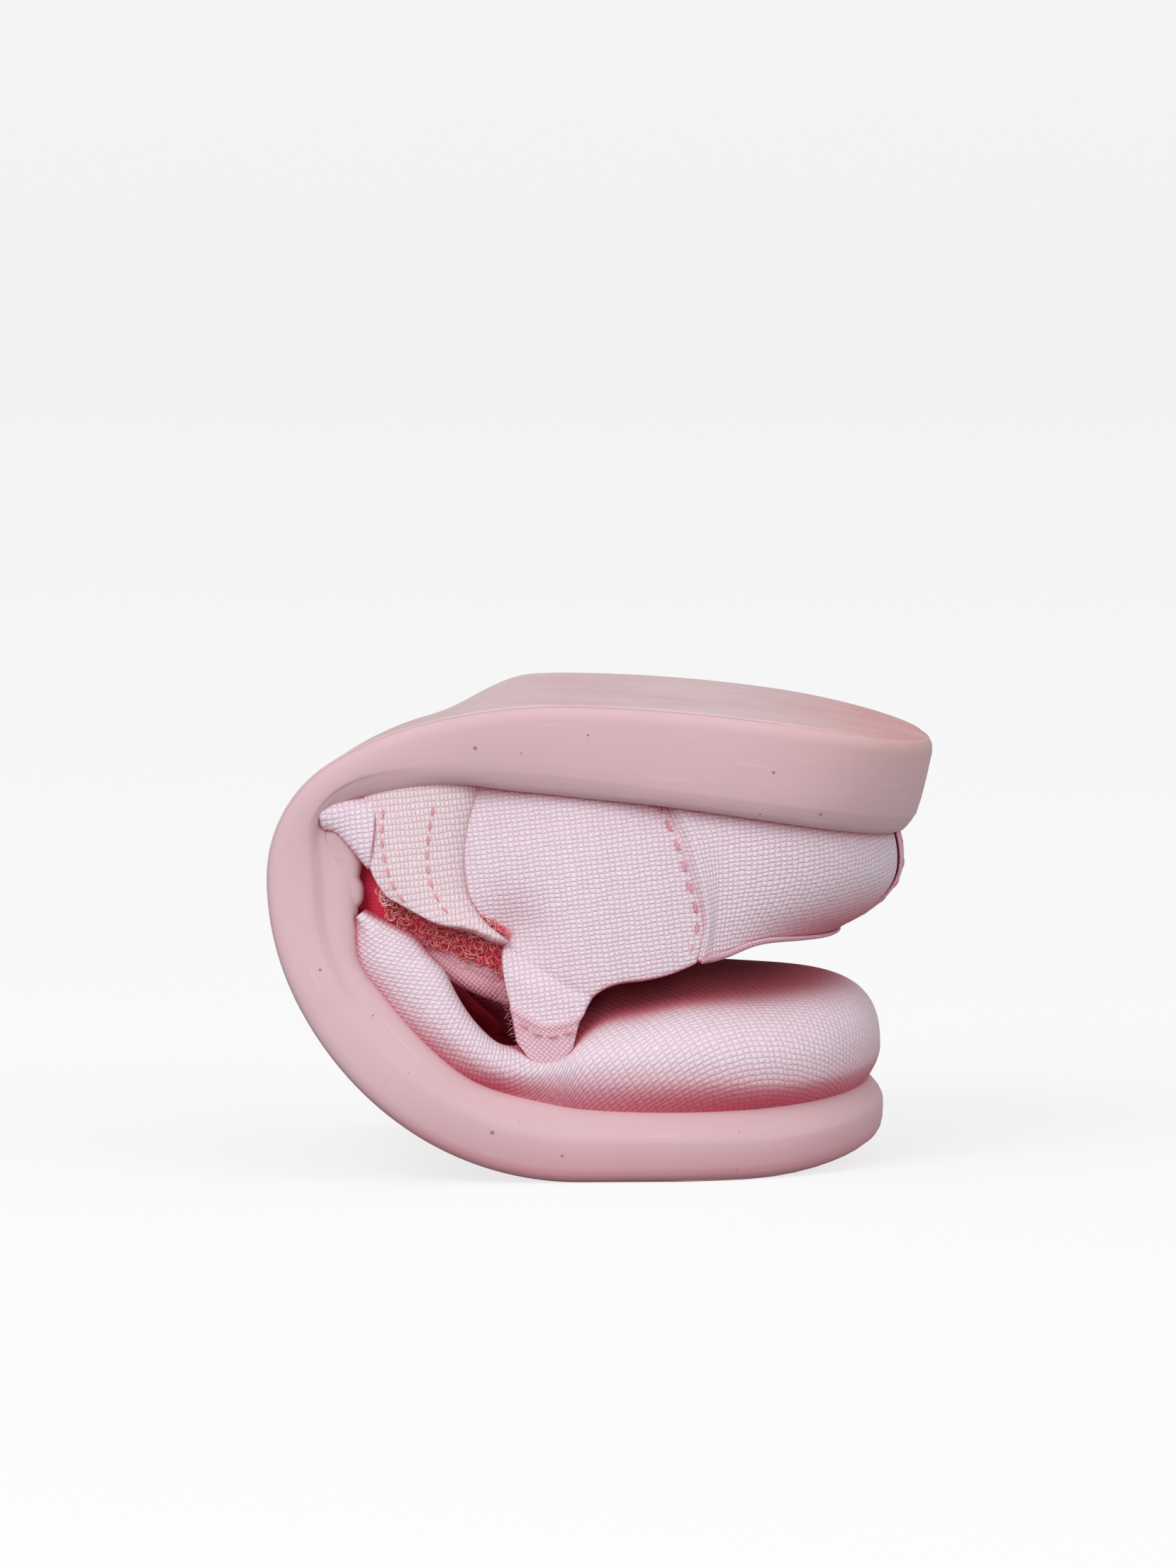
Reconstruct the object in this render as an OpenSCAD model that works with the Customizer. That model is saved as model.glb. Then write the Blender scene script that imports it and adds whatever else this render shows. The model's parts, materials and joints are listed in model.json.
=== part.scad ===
// Small child's canvas shoe with a soft rubber sole, rolled up heel over toe.
// +X points where both ends of the shoe point, +Y is the far side, +Z is up.
// The origin lies under the middle of the shoe's box, on the surface that it rests on.

/* [Sole] */
// Length of the sole measured along its ground face
sole_len = 152.5; // [125:0.5:190]
// Width across the ball of the foot
ball_w = 58; // [48:0.5:72]
// Width across the heel
heel_w = 49; // [40:0.5:60]
// Width at the waist of the sole
waist_w = 46; // [38:0.5:57]
// Thickness of the ground sheet
outsole_t = 1.2; // [0.8:0.1:2]
// Thickness of the filler between ground sheet and insole
midsole_t = 2.4; // [1.5:0.1:3.6]
// Thickness of the insole
insole_t = 1.6; // [1:0.1:2.6]
// Thickness of the rubber side wall
wall_t = 3; // [2:0.1:4]
// Height of the side wall round the toe
wall_toe_h = 7.6; // [6.6:0.1:10]
// Height of the side wall where the sole is bent hardest
wall_bend_h = 9; // [7:0.1:10]
// Height of the side wall behind the bend, under the webbing
wall_shank_h = 5.2; // [4.4:0.1:7]
// Height of the side wall round the heel
wall_heel_h = 9.8; // [7.5:0.1:12]

/* [Roll] */
// Angle that the toe is lifted by
toe_turn = 20; // [10:1:26]
// Angle turned in the ball of the sole
ball_turn = 32.5; // [25:0.5:36]
// Angle turned in the arch
arch_turn = 29; // [22:0.5:33]
// Angle turned in the waist
waist_turn = 28; // [22:0.5:32]
// Angle turned in the tight bend
bend_turn = 58; // [50:1:62]
// Angle turned behind the tight bend
shank_turn = 33.5; // [28:0.5:38]
// How far the far edge of the sole is tucked in behind the tight bend
far_tuck = 2.6; // [0:0.1:4]

/* [Upper] */
// Thickness of the canvas
canvas_t = 0.9; // [0.6:0.05:1.3]
// Thickness of the lining
lining_t = 0.6; // [0.4:0.05:0.9]
// Height of the toe box above the ground face
toe_box_h = 21.2; // [17.7:0.1:25.4]
// Height of the canvas band beside the arch
band_h = 13.2; // [11:0.1:15.8]
// Depth of the quarters at the instep, from the ground face
quarter_h = 26.2; // [21.8:0.1:27.5]
// Depth of the heel cup at the back seam, from the ground face
heel_cup_h = 20.4; // [17:0.1:24.4]
// Thickness of the ribbed webbing
webbing_t = 1.1; // [0.8:0.05:1.6]
// Thickness of the binding tape
tape_t = 0.5; // [0.3:0.05:0.8]

/* [Strap] */
// Length of the strap beyond the quarter
strap_l = 9.2; // [7.5:0.1:9.6]
// Width of the strap at its root
strap_w = 14; // [11.5:0.1:16.8]
// Length of the tape tab on the strap's tip
tab_l = 3.4; // [2.4:0.1:4.2]
// Thickness of the hook and loop patches
patch_t = 0.7; // [0.5:0.05:1]

/* [Fits] */
// Slit between neighbouring pieces of the sole that hinge on each other
cut_gap = 0.5; // [0.4:0.05:0.8]
// Room between layers that are glued or sewn together
layer_gap = 0.12; // [0.08:0.01:0.2]
// Room between the strap and the edge that it hangs from
strap_gap = 0.45; // [0.35:0.05:0.8]
// Diameter of the sewing thread
thread_d = 0.45; // [0.3:0.05:0.6]
// Length of one stitch
stitch_l = 1.6; // [1.2:0.1:2.2]
// Distance from one stitch to the next
stitch_pitch = 2.2; // [1.8:0.1:3]

/* [Hidden] */

// The roll, as arcs [parts of the sole's length, angle turned], from the toe to the heel
heel_turn = 13;
arcs = [[14.5, toe_turn], [16, 0], [17, ball_turn], [17, arch_turn], [13, waist_turn], [13.5, bend_turn],
        [11, shank_turn * 0.58], [14, shank_turn * 0.42], [36.5, heel_turn]];
n_arcs = len(arcs);
function upto(v, i) = i <= 0 ? 0 : v[i - 1] + upto(v, i - 1);
unit = sole_len / upto([for (a = arcs) a[0]], n_arcs);
lens = [for (a = arcs) a[0] * unit];
starts = [for (i = [0 : n_arcs]) upto(lens, i)];
heads = [for (i = [0 : n_arcs]) 180 + toe_turn - upto([for (a = arcs) a[1]], i)];
function along(i, d) =
    let (t = arcs[i][1], h = heads[i], g = h - t * d / lens[i], r = t == 0 ? 0 : lens[i] / (t * PI / 180))
    t == 0 ? d * [cos(h), sin(h)] : r * [sin(h) - sin(g), cos(g) - cos(h)];
function joint_spot(i) = i <= 0 ? [0, 0] : joint_spot(i - 1) + along(i - 1, lens[i - 1]);
knots = [for (i = [0 : n_arcs - 1]) joint_spot(i)];
// Middle of the flat that the shoe rests on, along X
flat_x = 5.82;
shift = [flat_x, 0] - (knots[1] + along(1, lens[1] / 2));
function arc_of(s) = max([for (i = [0 : n_arcs - 1]) if (i == 0 || s >= starts[i]) i]);
function path(s) = let (i = arc_of(s)) shift + knots[i] + along(i, s - starts[i]);
function head(s) = let (i = arc_of(s)) heads[i] - arcs[i][1] * (s - starts[i]) / lens[i];
function lean(s) = max(-200, min(180, head(s)));

// Values that change smoothly along the sole, as rows of [distance from the toe, value]
function ease(t) = t * t * (3 - 2 * t);
function mix(a, b, t) = a + (b - a) * t;
function rule(k, s) =
    let (n = len(k) - 1, i = max([for (j = [0 : n - 1]) if (j == 0 || s >= k[j][0]) j]),
         t = max(0, min(1, (s - k[i][0]) / (k[i + 1][0] - k[i][0]))))
    mix(k[i][1], k[i + 1][1], ease(t));
width_rule = [[0, ball_w / 2 - 1.5], [45 * unit, ball_w / 2], [86 * unit, waist_w / 2],
              [112 * unit, waist_w / 2 + 0.5], [135 * unit, heel_w / 2], [sole_len, heel_w / 2]];
wall_rule = [[0, wall_toe_h + 0.5], [16 * unit, wall_toe_h - 0.4], [58 * unit, wall_toe_h - 0.2],
             [66 * unit, wall_toe_h - 0.5], [75 * unit, wall_bend_h], [81 * unit, wall_bend_h],
             [89 * unit, wall_shank_h], [97 * unit, wall_shank_h + 0.6],
             [113 * unit, wall_heel_h - 0.6], [125 * unit, wall_heel_h], [sole_len, wall_heel_h]];
tuck_rule = [[84 * unit, 0], [95 * unit, -far_tuck], [101 * unit, -far_tuck], [112 * unit, 0], [sole_len, 0]];
function half_w(s) = rule(width_rule, s);
function wall_h(s) = rule(wall_rule, s);
function tuck(s) = s < 84 * unit ? 0 : rule(tuck_rule, s);

// A point of the shoe: s along the ground face, y across, h away from the ground face, k along the cut
function spot(s, y, h, k = 0) =
    let (p = path(s), a = lean(s), b = head(s), g = h - tuck(s) * (y / half_w(s) + 1) / 2)
    [p[0] + g * sin(a) + k * cos(b), y, p[1] - g * cos(a) + k * sin(b)];

// Hinge lines across the sole, which part it into its pieces
cuts = [for (q = [39, 56, 71, 84.25, 102]) q * unit];
zones = ["toe", "ball", "arch", "waist", "shank", "heel"];

// Outline of the sole drawn in by d, at the toe and at the heel
toe_end_l = 27;
heel_end_l = 20;
end_power = 2.3;
function end_dip(u) = 1 - pow(max(0, 1 - pow(abs(u), end_power)), 1 / end_power);
function toe_s(u, d) = d + (toe_end_l * unit - d) * end_dip(u);
function heel_s(u, d) = sole_len - toe_s_back(u, d);
function toe_s_back(u, d) = d + (heel_end_l * unit - d) * end_dip(u);
function side_y(s, d) = half_w(s) - d;

// Faces of a sheet with nr rows of nc points, then the same again for its other side
function quad(a, b, c, d) = [[a, b, c], [a, c, d]];
function sheet_faces(nr, nc) =
    let (m = nr * nc)
    [for (i = [0 : nr - 2], j = [0 : nc - 2], f = concat(
        quad(i * nc + j, i * nc + j + 1, (i + 1) * nc + j + 1, (i + 1) * nc + j),
        quad(m + i * nc + j, m + (i + 1) * nc + j, m + (i + 1) * nc + j + 1, m + i * nc + j + 1))) f];
function rim_faces(nr, nc) =
    let (m = nr * nc)
    concat(
        [for (j = [0 : nc - 2], f = quad(j, m + j, m + j + 1, j + 1)) f],
        [for (j = [0 : nc - 2], f = quad((nr - 1) * nc + j + 1, m + (nr - 1) * nc + j + 1,
                                         m + (nr - 1) * nc + j, (nr - 1) * nc + j)) f],
        [for (i = [0 : nr - 2], f = quad((i + 1) * nc, m + (i + 1) * nc, m + i * nc, i * nc)) f],
        [for (i = [0 : nr - 2], f = quad(i * nc + nc - 1, m + i * nc + nc - 1,
                                         m + (i + 1) * nc + nc - 1, (i + 1) * nc + nc - 1)) f]);
module sheet(front, back) {
    nr = len(front);
    nc = len(front[0]);
    polyhedron(concat([for (r = front, p = r) p], [for (r = back, p = r) p]),
               concat(sheet_faces(nr, nc), rim_faces(nr, nc)));
}
// A rope of sections, each a closed loop of the same number of points, given against the clock
module loft(loops) {
    n = len(loops);
    m = len(loops[0]);
    polyhedron([for (r = loops, p = r) p], concat(
        [for (i = [0 : n - 2], j = [0 : m - 1], f = quad(i * m + j, i * m + (j + 1) % m,
            (i + 1) * m + (j + 1) % m, (i + 1) * m + j)) f],
        [for (j = [1 : m - 2]) [0, j + 1, j]],
        [for (j = [1 : m - 2]) [(n - 1) * m, (n - 1) * m + j, (n - 1) * m + j + 1]]));
}

// Flat layers of the sole
cross = [-1, -0.9, -0.66, -0.33, 0, 0.33, 0.66, 0.9, 1];
function strip_rows(a, b, d, h, rows) =
    [for (i = [0 : rows]) let (s = mix(a, b, i / rows), k = i == 0 ? cut_gap / 2 : i == rows ? -cut_gap / 2 : 0)
        [for (u = cross) spot(s, u * side_y(s, d), h, k)]];
function toe_rows(d, h, rows) =
    [for (i = [0 : rows]) let (v = i / rows, k = i == 0 ? -cut_gap / 2 : 0)
        [for (u = cross) let (s = mix(cuts[0], toe_s(u, d), 1 - pow(1 - v, 1.3)))
            spot(s, u * side_y(s, d), h, k)]];
function heel_rows(d, h, rows) =
    [for (i = [0 : rows]) let (v = i / rows, k = i == 0 ? cut_gap / 2 : 0)
        [for (u = cross) let (s = mix(cuts[4], heel_s(u, d), 1 - pow(1 - v, 1.3)))
            spot(s, u * side_y(s, d), h, k)]];
end_rows = 11;
module layer(z, d, low, high) {
    if (z == 0) sheet(toe_rows(d, high, end_rows), toe_rows(d, low, end_rows));
    else if (z == 5) sheet(heel_rows(d, low, end_rows), heel_rows(d, high, end_rows));
    else sheet(strip_rows(cuts[z - 1], cuts[z], d, low, 5), strip_rows(cuts[z - 1], cuts[z], d, high, 5));
}
mid_low = outsole_t + 1.7 * layer_gap;
mid_high = mid_low + midsole_t;
in_low = mid_high + 1.5 * layer_gap;
in_high = in_low + insole_t;
wall_in = wall_t;
canvas_out = wall_in + 1.5 * layer_gap;
canvas_in = canvas_out + canvas_t;
lining_out = canvas_in + 2 * layer_gap;
lining_in = lining_out + lining_t;

// Side wall: a rubber strip that follows the outline, round at its lip
function wall_loop(s, u, e, k) =
    let (top = wall_h(s), low = mid_low,
         rim = [[0.5, low], [0, mix(low, top, 0.35)], [0.1, mix(low, top, 0.7)], [1.1, top - 0.6],
                [wall_in * 0.72, top], [wall_in, top - 0.7], [wall_in, low]])
    [for (q = rim) e == 0 ? spot(s, u * side_y(s, q[0]), q[1], k)
                 : e == 1 ? let (t = toe_s(u, q[0])) spot(t, u * side_y(t, q[0]), q[1], k)
                          : let (t = heel_s(u, q[0])) spot(t, u * side_y(t, q[0]), q[1], k)];
round_steps = 14;
function round_u(i) = -cos(180 * i / round_steps);
function reverse(v) = [for (i = [len(v) - 1 : -1 : 0]) v[i]];
module wall_strip(a, b, side, rows) {
    loops = [for (i = [0 : rows]) let (s = mix(a, b, i / rows), k = i == 0 ? cut_gap / 2 : i == rows ? -cut_gap / 2 : 0)
        wall_loop(s, side, 0, k)];
    loft(side < 0 ? [for (l = loops) reverse(l)] : loops);
}
module wall_toe() {
    e = toe_end_l * unit;
    loft(concat(
        [for (i = [0 : 3]) wall_loop(mix(cuts[0], e, i / 4), -1, 0, i == 0 ? -cut_gap / 2 : 0)],
        [for (i = [0 : round_steps]) let (u = round_u(i)) wall_loop(toe_s(u, 0), u, 1, 0)],
        [for (i = [3 : -1 : 0]) wall_loop(mix(cuts[0], e, i / 4), 1, 0, i == 0 ? -cut_gap / 2 : 0)]));
}
module wall_heel() {
    e = sole_len - heel_end_l * unit;
    loft([for (l = concat(
        [for (i = [0 : 7]) wall_loop(mix(cuts[4], e, i / 8), -1, 0, i == 0 ? cut_gap / 2 : 0)],
        [for (i = [0 : round_steps]) let (u = round_u(i)) wall_loop(heel_s(u, 0), u, 2, 0)],
        [for (i = [7 : -1 : 0]) wall_loop(mix(cuts[4], e, i / 8), 1, 0, i == 0 ? cut_gap / 2 : 0)])) reverse(l)]);
}
module outsole(z) { color("#dcb9be") layer(z, 0.35, 0, outsole_t); }
module midsole(z) { color("#c99aa3") layer(z, wall_in + 1.5 * layer_gap, mid_low, mid_high); }
module insole(z) { color("#d9899a") layer(z, lining_in + 1.5 * layer_gap, in_low, in_high); }
module sidewall(z) {
    color("#d8b2b8")
        if (z == 0) wall_toe();
        else if (z == 5) wall_heel();
        else for (side = [-1, 1]) wall_strip(cuts[z - 1], cuts[z], side, 5);
}

// Vamp: rings that start inside the side wall, rise and close over the toes
ridge_rule = [[0, toe_box_h], [16 * unit, toe_box_h - 0.8], [27 * unit, toe_box_h - 5.4],
              [33 * unit, band_h - 0.6], [cuts[0], band_h - 1.9], [sole_len, band_h - 1.9]];
crown_rule = [[0, toe_box_h], [18 * unit, toe_box_h], [34 * unit, band_h + 1], [sole_len, band_h + 1]];
seat_h = mid_high + 1.5 * layer_gap;
vamp_levels = 7;
vamp_front = 13.5;
function vamp_point(i, b, off) =
    let (n = 12, f = 3, m = n + 2 * f, t = b / vamp_levels,
         side = i < m / 2 ? -1 : i > m / 2 ? 1 : 0,
         j = min(i, m - i),
         u0 = j < f ? 1 : abs(cos(180 * (j - f) / n)),
         d = canvas_out + off,
         se = toe_end_l * unit,
         s0 = j < f ? mix(cuts[0], se, j / f) : toe_s(u0, d),
         rise = sin(90 * min(1, t * 1.35)),
         draw = t < 0.3 ? 0 : pow((t - 0.3) / 0.7, 1.5),
         s1 = mix(cuts[0], vamp_front * unit, j / (m / 2)),
         s = mix(s0, s1, draw),
         y0 = side * (j < f ? side_y(s0, d) : u0 * side_y(s0, d)),
         y = mix(y0, 0, draw),
         top = mix(rule(ridge_rule, s), rule(crown_rule, s), ease(draw)) - off,
         h = mix(seat_h, top, rise))
    spot(s, y, h, j == 0 ? -cut_gap / 2 : 0);
module shell_over(off, t) {
    n = 19;
    rows = vamp_levels;
    half = 10;
    m = rows * n + half;
    function at(b, j) = b < rows ? b * n + j : rows * n + min(j, n - 1 - j);
    pts = [for (o = [off, off + t]) concat(
        [for (b = [0 : rows - 1], i = [0 : n - 1]) vamp_point(i, b, o)],
        [for (i = [0 : half - 1]) vamp_point(i, rows, o)])];
    polyhedron(concat(pts[0], pts[1]), concat(
        [for (b = [0 : rows - 1], j = [0 : n - 2], f = quad(at(b, j), at(b + 1, j), at(b + 1, j + 1), at(b, j + 1))) f],
        [for (b = [0 : rows - 1], j = [0 : n - 2], f = quad(m + at(b, j), m + at(b, j + 1), m + at(b + 1, j + 1),
                                                         m + at(b + 1, j))) f],
        [for (j = [0 : n - 2], f = quad(at(0, j), at(0, j + 1), m + at(0, j + 1), m + at(0, j))) f],
        [for (b = [0 : rows - 1], f = quad(at(b, 0), m + at(b, 0), m + at(b + 1, 0), at(b + 1, 0))) f],
        [for (b = [0 : rows - 1], f = quad(at(b + 1, n - 1), m + at(b + 1, n - 1), m + at(b, n - 1), at(b, n - 1))) f]));
}
module vamp() { color("#dfc9d6") shell_over(0, canvas_t); }
module vamp_lining() { color("#e58a9c") shell_over(canvas_t + 2 * layer_gap, lining_t); }

// Side canvas and its lining, beside the ball and the arch
band_rule = [[cuts[0], band_h - 1.9], [46 * unit, band_h - 2], [58 * unit, band_h],
             [65 * unit, band_h - 0.6], [cuts[2], band_h - 4.2]];
band_draw = 1.6;
function band_point(side, s, f, off, k) =
    let (h = mix(seat_h, rule(band_rule, s) - (off > canvas_t ? 0.5 : 0), f))
    spot(s, side * (side_y(s, canvas_out + off) - band_draw * f * f), h, k);
function face_rows(rows, side) = side > 0 ? [for (r = rows) reverse(r)] : rows;
module band(z, off, t) {
    n = 5;
    for (side = [-1, 1]) {
        grids = [for (o = [off, off + t]) [for (i = [0 : n])
            let (k = i == 0 ? cut_gap / 2 : i == n ? -cut_gap / 2 : 0)
            [for (j = [0 : 4]) band_point(side, mix(cuts[z - 1], cuts[z], i / n), j / 4, o, k)]]];
        sheet(face_rows(grids[1], side), face_rows(grids[0], side));
    }
}
module side_canvas(z) { color("#e0ccd8") band(z, 0, canvas_t); }
module side_lining(z) { color("#e58a9c") band(z, canvas_t + 2 * layer_gap, lining_t); }

// Upper of the heel half. It hangs from the sole while the shoe is rolled.
web_start = 92 * unit;
side_seam_low = 126 * unit;
seam_sweep = 4.6 * unit;
edge_far = [[101 * unit, quarter_h - 5.6], [106 * unit, quarter_h - 3], [120 * unit, quarter_h + 0.6],
            [128 * unit, quarter_h - 0.4], [134 * unit, mix(heel_cup_h, quarter_h, 0.62)],
            [140 * unit, heel_cup_h + 0.8], [sole_len, heel_cup_h]];
strap_mid = 111.4 * unit;
root_h = quarter_h - 2.2;
edge_near = concat([[101 * unit, quarter_h - 5.6], [strap_mid - strap_w / 2, root_h - 0.3],
                    [strap_mid + strap_w / 2 + 1.3, root_h], [strap_mid + strap_w / 2 + 2.6, quarter_h + 0.8]],
                   [for (r = edge_far) if (r[0] > strap_mid + strap_w / 2 + 2.6) r]);
side_lean = [[90 * unit, 0.2], [118 * unit, 0.22], [140 * unit, 0.02], [sole_len, 0]];
function edge_h(side, s) = rule(side < 0 ? edge_near : edge_far, s);
function wall_y(side, s, h, off) =
    side * (side_y(s, canvas_out + off) + rule(side_lean, s) * (side < 0 ? 1 : 0.5) * max(0, h - wall_h(s)));
function front_s(h) = 98.6 * unit + 5 * pow((h - 15.5) / 7.5, 2) * (h < 15.5 ? 0.75 : 1);
function seam_s(h) = side_seam_low + seam_sweep * sin(90 * max(0, min(1.15, (h - wall_heel_h) / 12)));
quarter_cols = 7;
quarter_rows = 16;
module quarter(side) {
    grids = [for (o = [0, canvas_t]) [for (i = [0 : quarter_rows]) [for (j = [0 : quarter_cols])
        let (f = j / quarter_cols, a = i / quarter_rows,
             s_try = mix(front_s(mix(seat_h, root_h, f)) + 0.3, seam_s(mix(seat_h, root_h, f)) - 0.1, a),
             h = mix(seat_h, edge_h(side, s_try), f),
             s = mix(front_s(h) + 0.3, seam_s(h) - 0.1, a))
        spot(s, wall_y(side, s, h, o), h)]]];
    color("#e2cfdb") sheet(face_rows(grids[1], side), face_rows(grids[0], side));
}
module quarter_near() { quarter(-1); }
module quarter_far() { quarter(1); }

// Heel panel, which runs round the back from one side seam to the other
back_round = 11;
straight = 3;
ring_n = round_steps + 2 * straight;
function back_draw(h) =
    let (q = min(1, max(0, (h - wall_heel_h) / (heel_cup_h - wall_heel_h + 0.6))))
    back_round * unit * (1 - sqrt(1 - q * q));
function ring_u(i) = i < straight ? -1 : i > ring_n - straight ? 1 : round_u(i - straight);
function ring_point(i, h, off, from) =
    let (j = min(i, ring_n - i), u = ring_u(i), d = canvas_out + off, e = sole_len - heel_end_l * unit,
         b = back_draw(h),
         s = j < straight ? mix(from, e, j / straight)
                          : sole_len - d - b - (heel_end_l * unit - d - b) * end_dip(u))
    spot(s, u == -1 || u == 1 ? wall_y(u, s, h, off)
                              : u * abs(wall_y(u < 0 ? -1 : 1, s, h, off)), h);
function ring_edge(i) =
    let (j = min(i, ring_n - i), t = j / (ring_n / 2))
    mix(rule(edge_far, side_seam_low + seam_sweep), heel_cup_h, sin(90 * min(1, t * 1.15)));
module heel_ring(low, off, t, from_low, from_high, highest) {
    rows = 7;
    grids = [for (o = [off, off + t]) [for (i = [0 : ring_n]) [for (f = [0 : rows])
        let (h = mix(low, min(ring_edge(i), highest), f / rows))
        ring_point(i, h, o, from_low == 0 ? seam_s(h) + 0.1 : mix(from_low, from_high, f / rows))]]];
    sheet(grids[1], grids[0]);
}
module heel_panel() { color("#dbc5d1") heel_ring(seat_h, 0, canvas_t, 0, 0, sole_len); }
// The lining stands this far above the strap's root at most, clear of the hook patch
lining_rise = 1;
module quarter_lining() {
    color("#e58a9c") heel_ring(seat_h, canvas_t + 2 * layer_gap, lining_t, 106 * unit, 110 * unit,
                               root_h + lining_rise);
}

// Tape down the back seam
tape_n = 4;
module back_tape() {
    mid = ring_n / 2;
    grids = [for (o = [-layer_gap - tape_t, -layer_gap]) [for (i = [-1 : 1]) [for (f = [0 : tape_n * 2])
        ring_point(mid + i, mix(wall_heel_h + 0.5, heel_cup_h - 0.2, f / (tape_n * 2)), o, 0)]]];
    color("#e3a9b8") sheet(grids[1], grids[0]);
}
// Binding along the edge of the heel cup
module topline_binding() {
    lo = canvas_t + lining_t + 2 * layer_gap;
    loops = [for (i = [0 : ring_n]) let (e = ring_edge(i) + layer_gap, s = seam_s(e) + 0.4)
        [for (q = [[0, 0], [0, tape_t], [lo, tape_t], [lo, 0]]) ring_point(i, e + q[1], q[0], s)]];
    color("#e3a9b8") loft([for (l = loops) reverse(l)]);
}

// Ribbed webbing between the bend and the quarter
function web_point(side, a, f, off) =
    let (sl = web_start, hl = wall_shank_h + 0.6 + 7.5 * f,
         hr = wall_shank_h + 1.8 + (quarter_h - wall_shank_h - 7.4) * f, sr = front_s(hr),
         s = mix(sl, sr, a), h = mix(hl, hr, a))
    spot(s, wall_y(side, s, h, off), h);
module webbing(side) {
    grids = [for (o = [0, webbing_t]) [for (i = [0 : 6]) [for (j = [0 : 5]) web_point(side, i / 6, j / 5, o)]]];
    color("#e6d3da") sheet(face_rows(grids[1], side), face_rows(grids[0], side));
}
module webbing_near() { webbing(-1); }
module webbing_far() { webbing(1); }

// Strap: it hinges along the near quarter's edge, on its outer face
strap_top = root_h + strap_gap;
function strap_half(g) = strap_w / 2 * pow(max(0, 1 - pow(g, 3.2)), 1 / 2.4);
function strap_point(a, g, off) =
    let (h = strap_top + strap_l * g, half = max(1.6, strap_half(g)), s = strap_mid + 0.6 * g + half * a)
    spot(s, wall_y(-1, s, h, off), h);
module strap_sheet(g0, g1, off, t, spread) {
    grids = [for (o = [off, off + t]) [for (i = [0 : 8]) [for (j = [0 : 5])
        strap_point(spread * (i / 4 - 1), mix(g0, g1, j / 5), o)]]];
    sheet(grids[1], grids[0]);
}
tab_from = 1 - tab_l / strap_l;
module strap() { color("#e2cfdb") strap_sheet(0, 0.8, 0, canvas_t, 1); }
module strap_tab() { color("#e5b6c8") strap_sheet(tab_from, 1, -layer_gap - tape_t, tape_t, 1.02); }
module hook_patch() { color("#f0d5dc") strap_sheet(0.1, 0.74, canvas_t + layer_gap, patch_t, 0.82); }

// Flap of the far quarter, folded in under the instep, with the loop patch on it
flap_from = 91.2 * unit;
flap_to = 105 * unit;
flap_in = 7;
function flap_edge(s) = 17 + 0.6 * (s / unit - 88);
flap_section = [[0.74, -5.2], [0.3, -7], [-0.2, -7.4], [-0.52, -6.6], [-0.64, -4.6], [-0.68, 0]];
function flap_point(s, q, off) =
    let (w = half_w(s) - flap_in + 3)
    spot(s, q[0] * w + (q[0] < -0.6 ? off : 0), flap_edge(s) + q[1] - (q[0] < -0.6 ? 0 : off));
module flap_sheet(from, to, first, off, t) {
    grids = [for (o = [off, off + t]) [for (i = [0 : 5]) [for (j = [first : len(flap_section) - 1])
        flap_point(mix(from, to, i / 5), flap_section[j], o)]]];
    sheet(grids[0], grids[1]);
}
module instep_flap() { color("#d98596") flap_sheet(flap_from, flap_to, 0, 0, lining_t + canvas_t); }
function patch_point(s, f, off) =
    spot(s, -0.68 * (half_w(s) - flap_in + 3) - off, flap_edge(s) - 4.4 * f);
module loop_patch() {
    grids = [for (o = [layer_gap + patch_t, layer_gap]) [for (i = [0 : 5]) [for (f = [1, 0.7, 0.4, 0.1])
        patch_point(mix(flap_from + 0.6, flap_to - 0.6, i / 5), f, o)]]];
    color("#d9756c") sheet(reverse(grids[0]), reverse(grids[1]));
}
module flap_binding() {
    loops = [for (i = [0 : 5]) let (s = mix(flap_from, flap_to, i / 5), w = -0.68 * (half_w(s) - flap_in + 3),
                                    e = flap_edge(s) + layer_gap)
        [for (q = [[-0.2, 0], [lining_t + canvas_t, 0], [lining_t + canvas_t, 0.9], [-0.2, 1.3]])
            spot(s, w + q[0], e + q[1])]];
    color("#ecc3cc") loft(loops);
}

// Sewing thread: short round stitches laid end to end along a seam
module stitch(a, b) {
    v = b - a;
    l = norm(v);
    translate(a) rotate([0, acos(v[2] / l), atan2(v[1], v[0])]) cylinder(h = l, d = thread_d, $fn = 8);
}
module seam(pts) {
    for (i = [0 : len(pts) - 2]) stitch(pts[i], pts[i] + (pts[i + 1] - pts[i]) * stitch_l / stitch_pitch);
}
proud = layer_gap + thread_d / 2;
module side_seam_stitches() {
    n = round((quarter_h - wall_heel_h - 2) / stitch_pitch);
    color("#d98aa0") for (side = [-1, 1])
        seam([for (i = [0 : n]) let (h = mix(wall_heel_h + 0.8, quarter_h - 3, i / n), s = seam_s(h) - 1.2)
            spot(s, wall_y(side, s, h, -proud), h)]);
}
module webbing_stitches() {
    n = round(9 / stitch_pitch);
    color("#e0849c") for (side = [-1, 1], a = [0.28, 0.82])
        seam([for (i = [0 : n]) web_point(side, a, 0.1 + 0.8 * i / n, -proud)]);
}
module back_tape_stitches() {
    n = round((heel_cup_h - wall_heel_h) / stitch_pitch) + 1;
    color("#d98aa0") for (side = [-1, 1])
        seam([for (i = [0 : n]) let (h = mix(wall_heel_h + 1, heel_cup_h - 1, i / n))
            mix(ring_point(ring_n / 2, h, -tape_t - layer_gap - proud, 0),
                ring_point(ring_n / 2 + side, h, -tape_t - layer_gap - proud, 0), 0.8)]);
}
module strap_tab_stitches() {
    n = round(strap_w * 0.75 / stitch_pitch);
    color("#d98aa0")
        seam([for (i = [0 : n]) strap_point(mix(-0.84, 0.84, i / n), tab_from + 0.1, -tape_t - layer_gap - proud)]);
}

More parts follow.
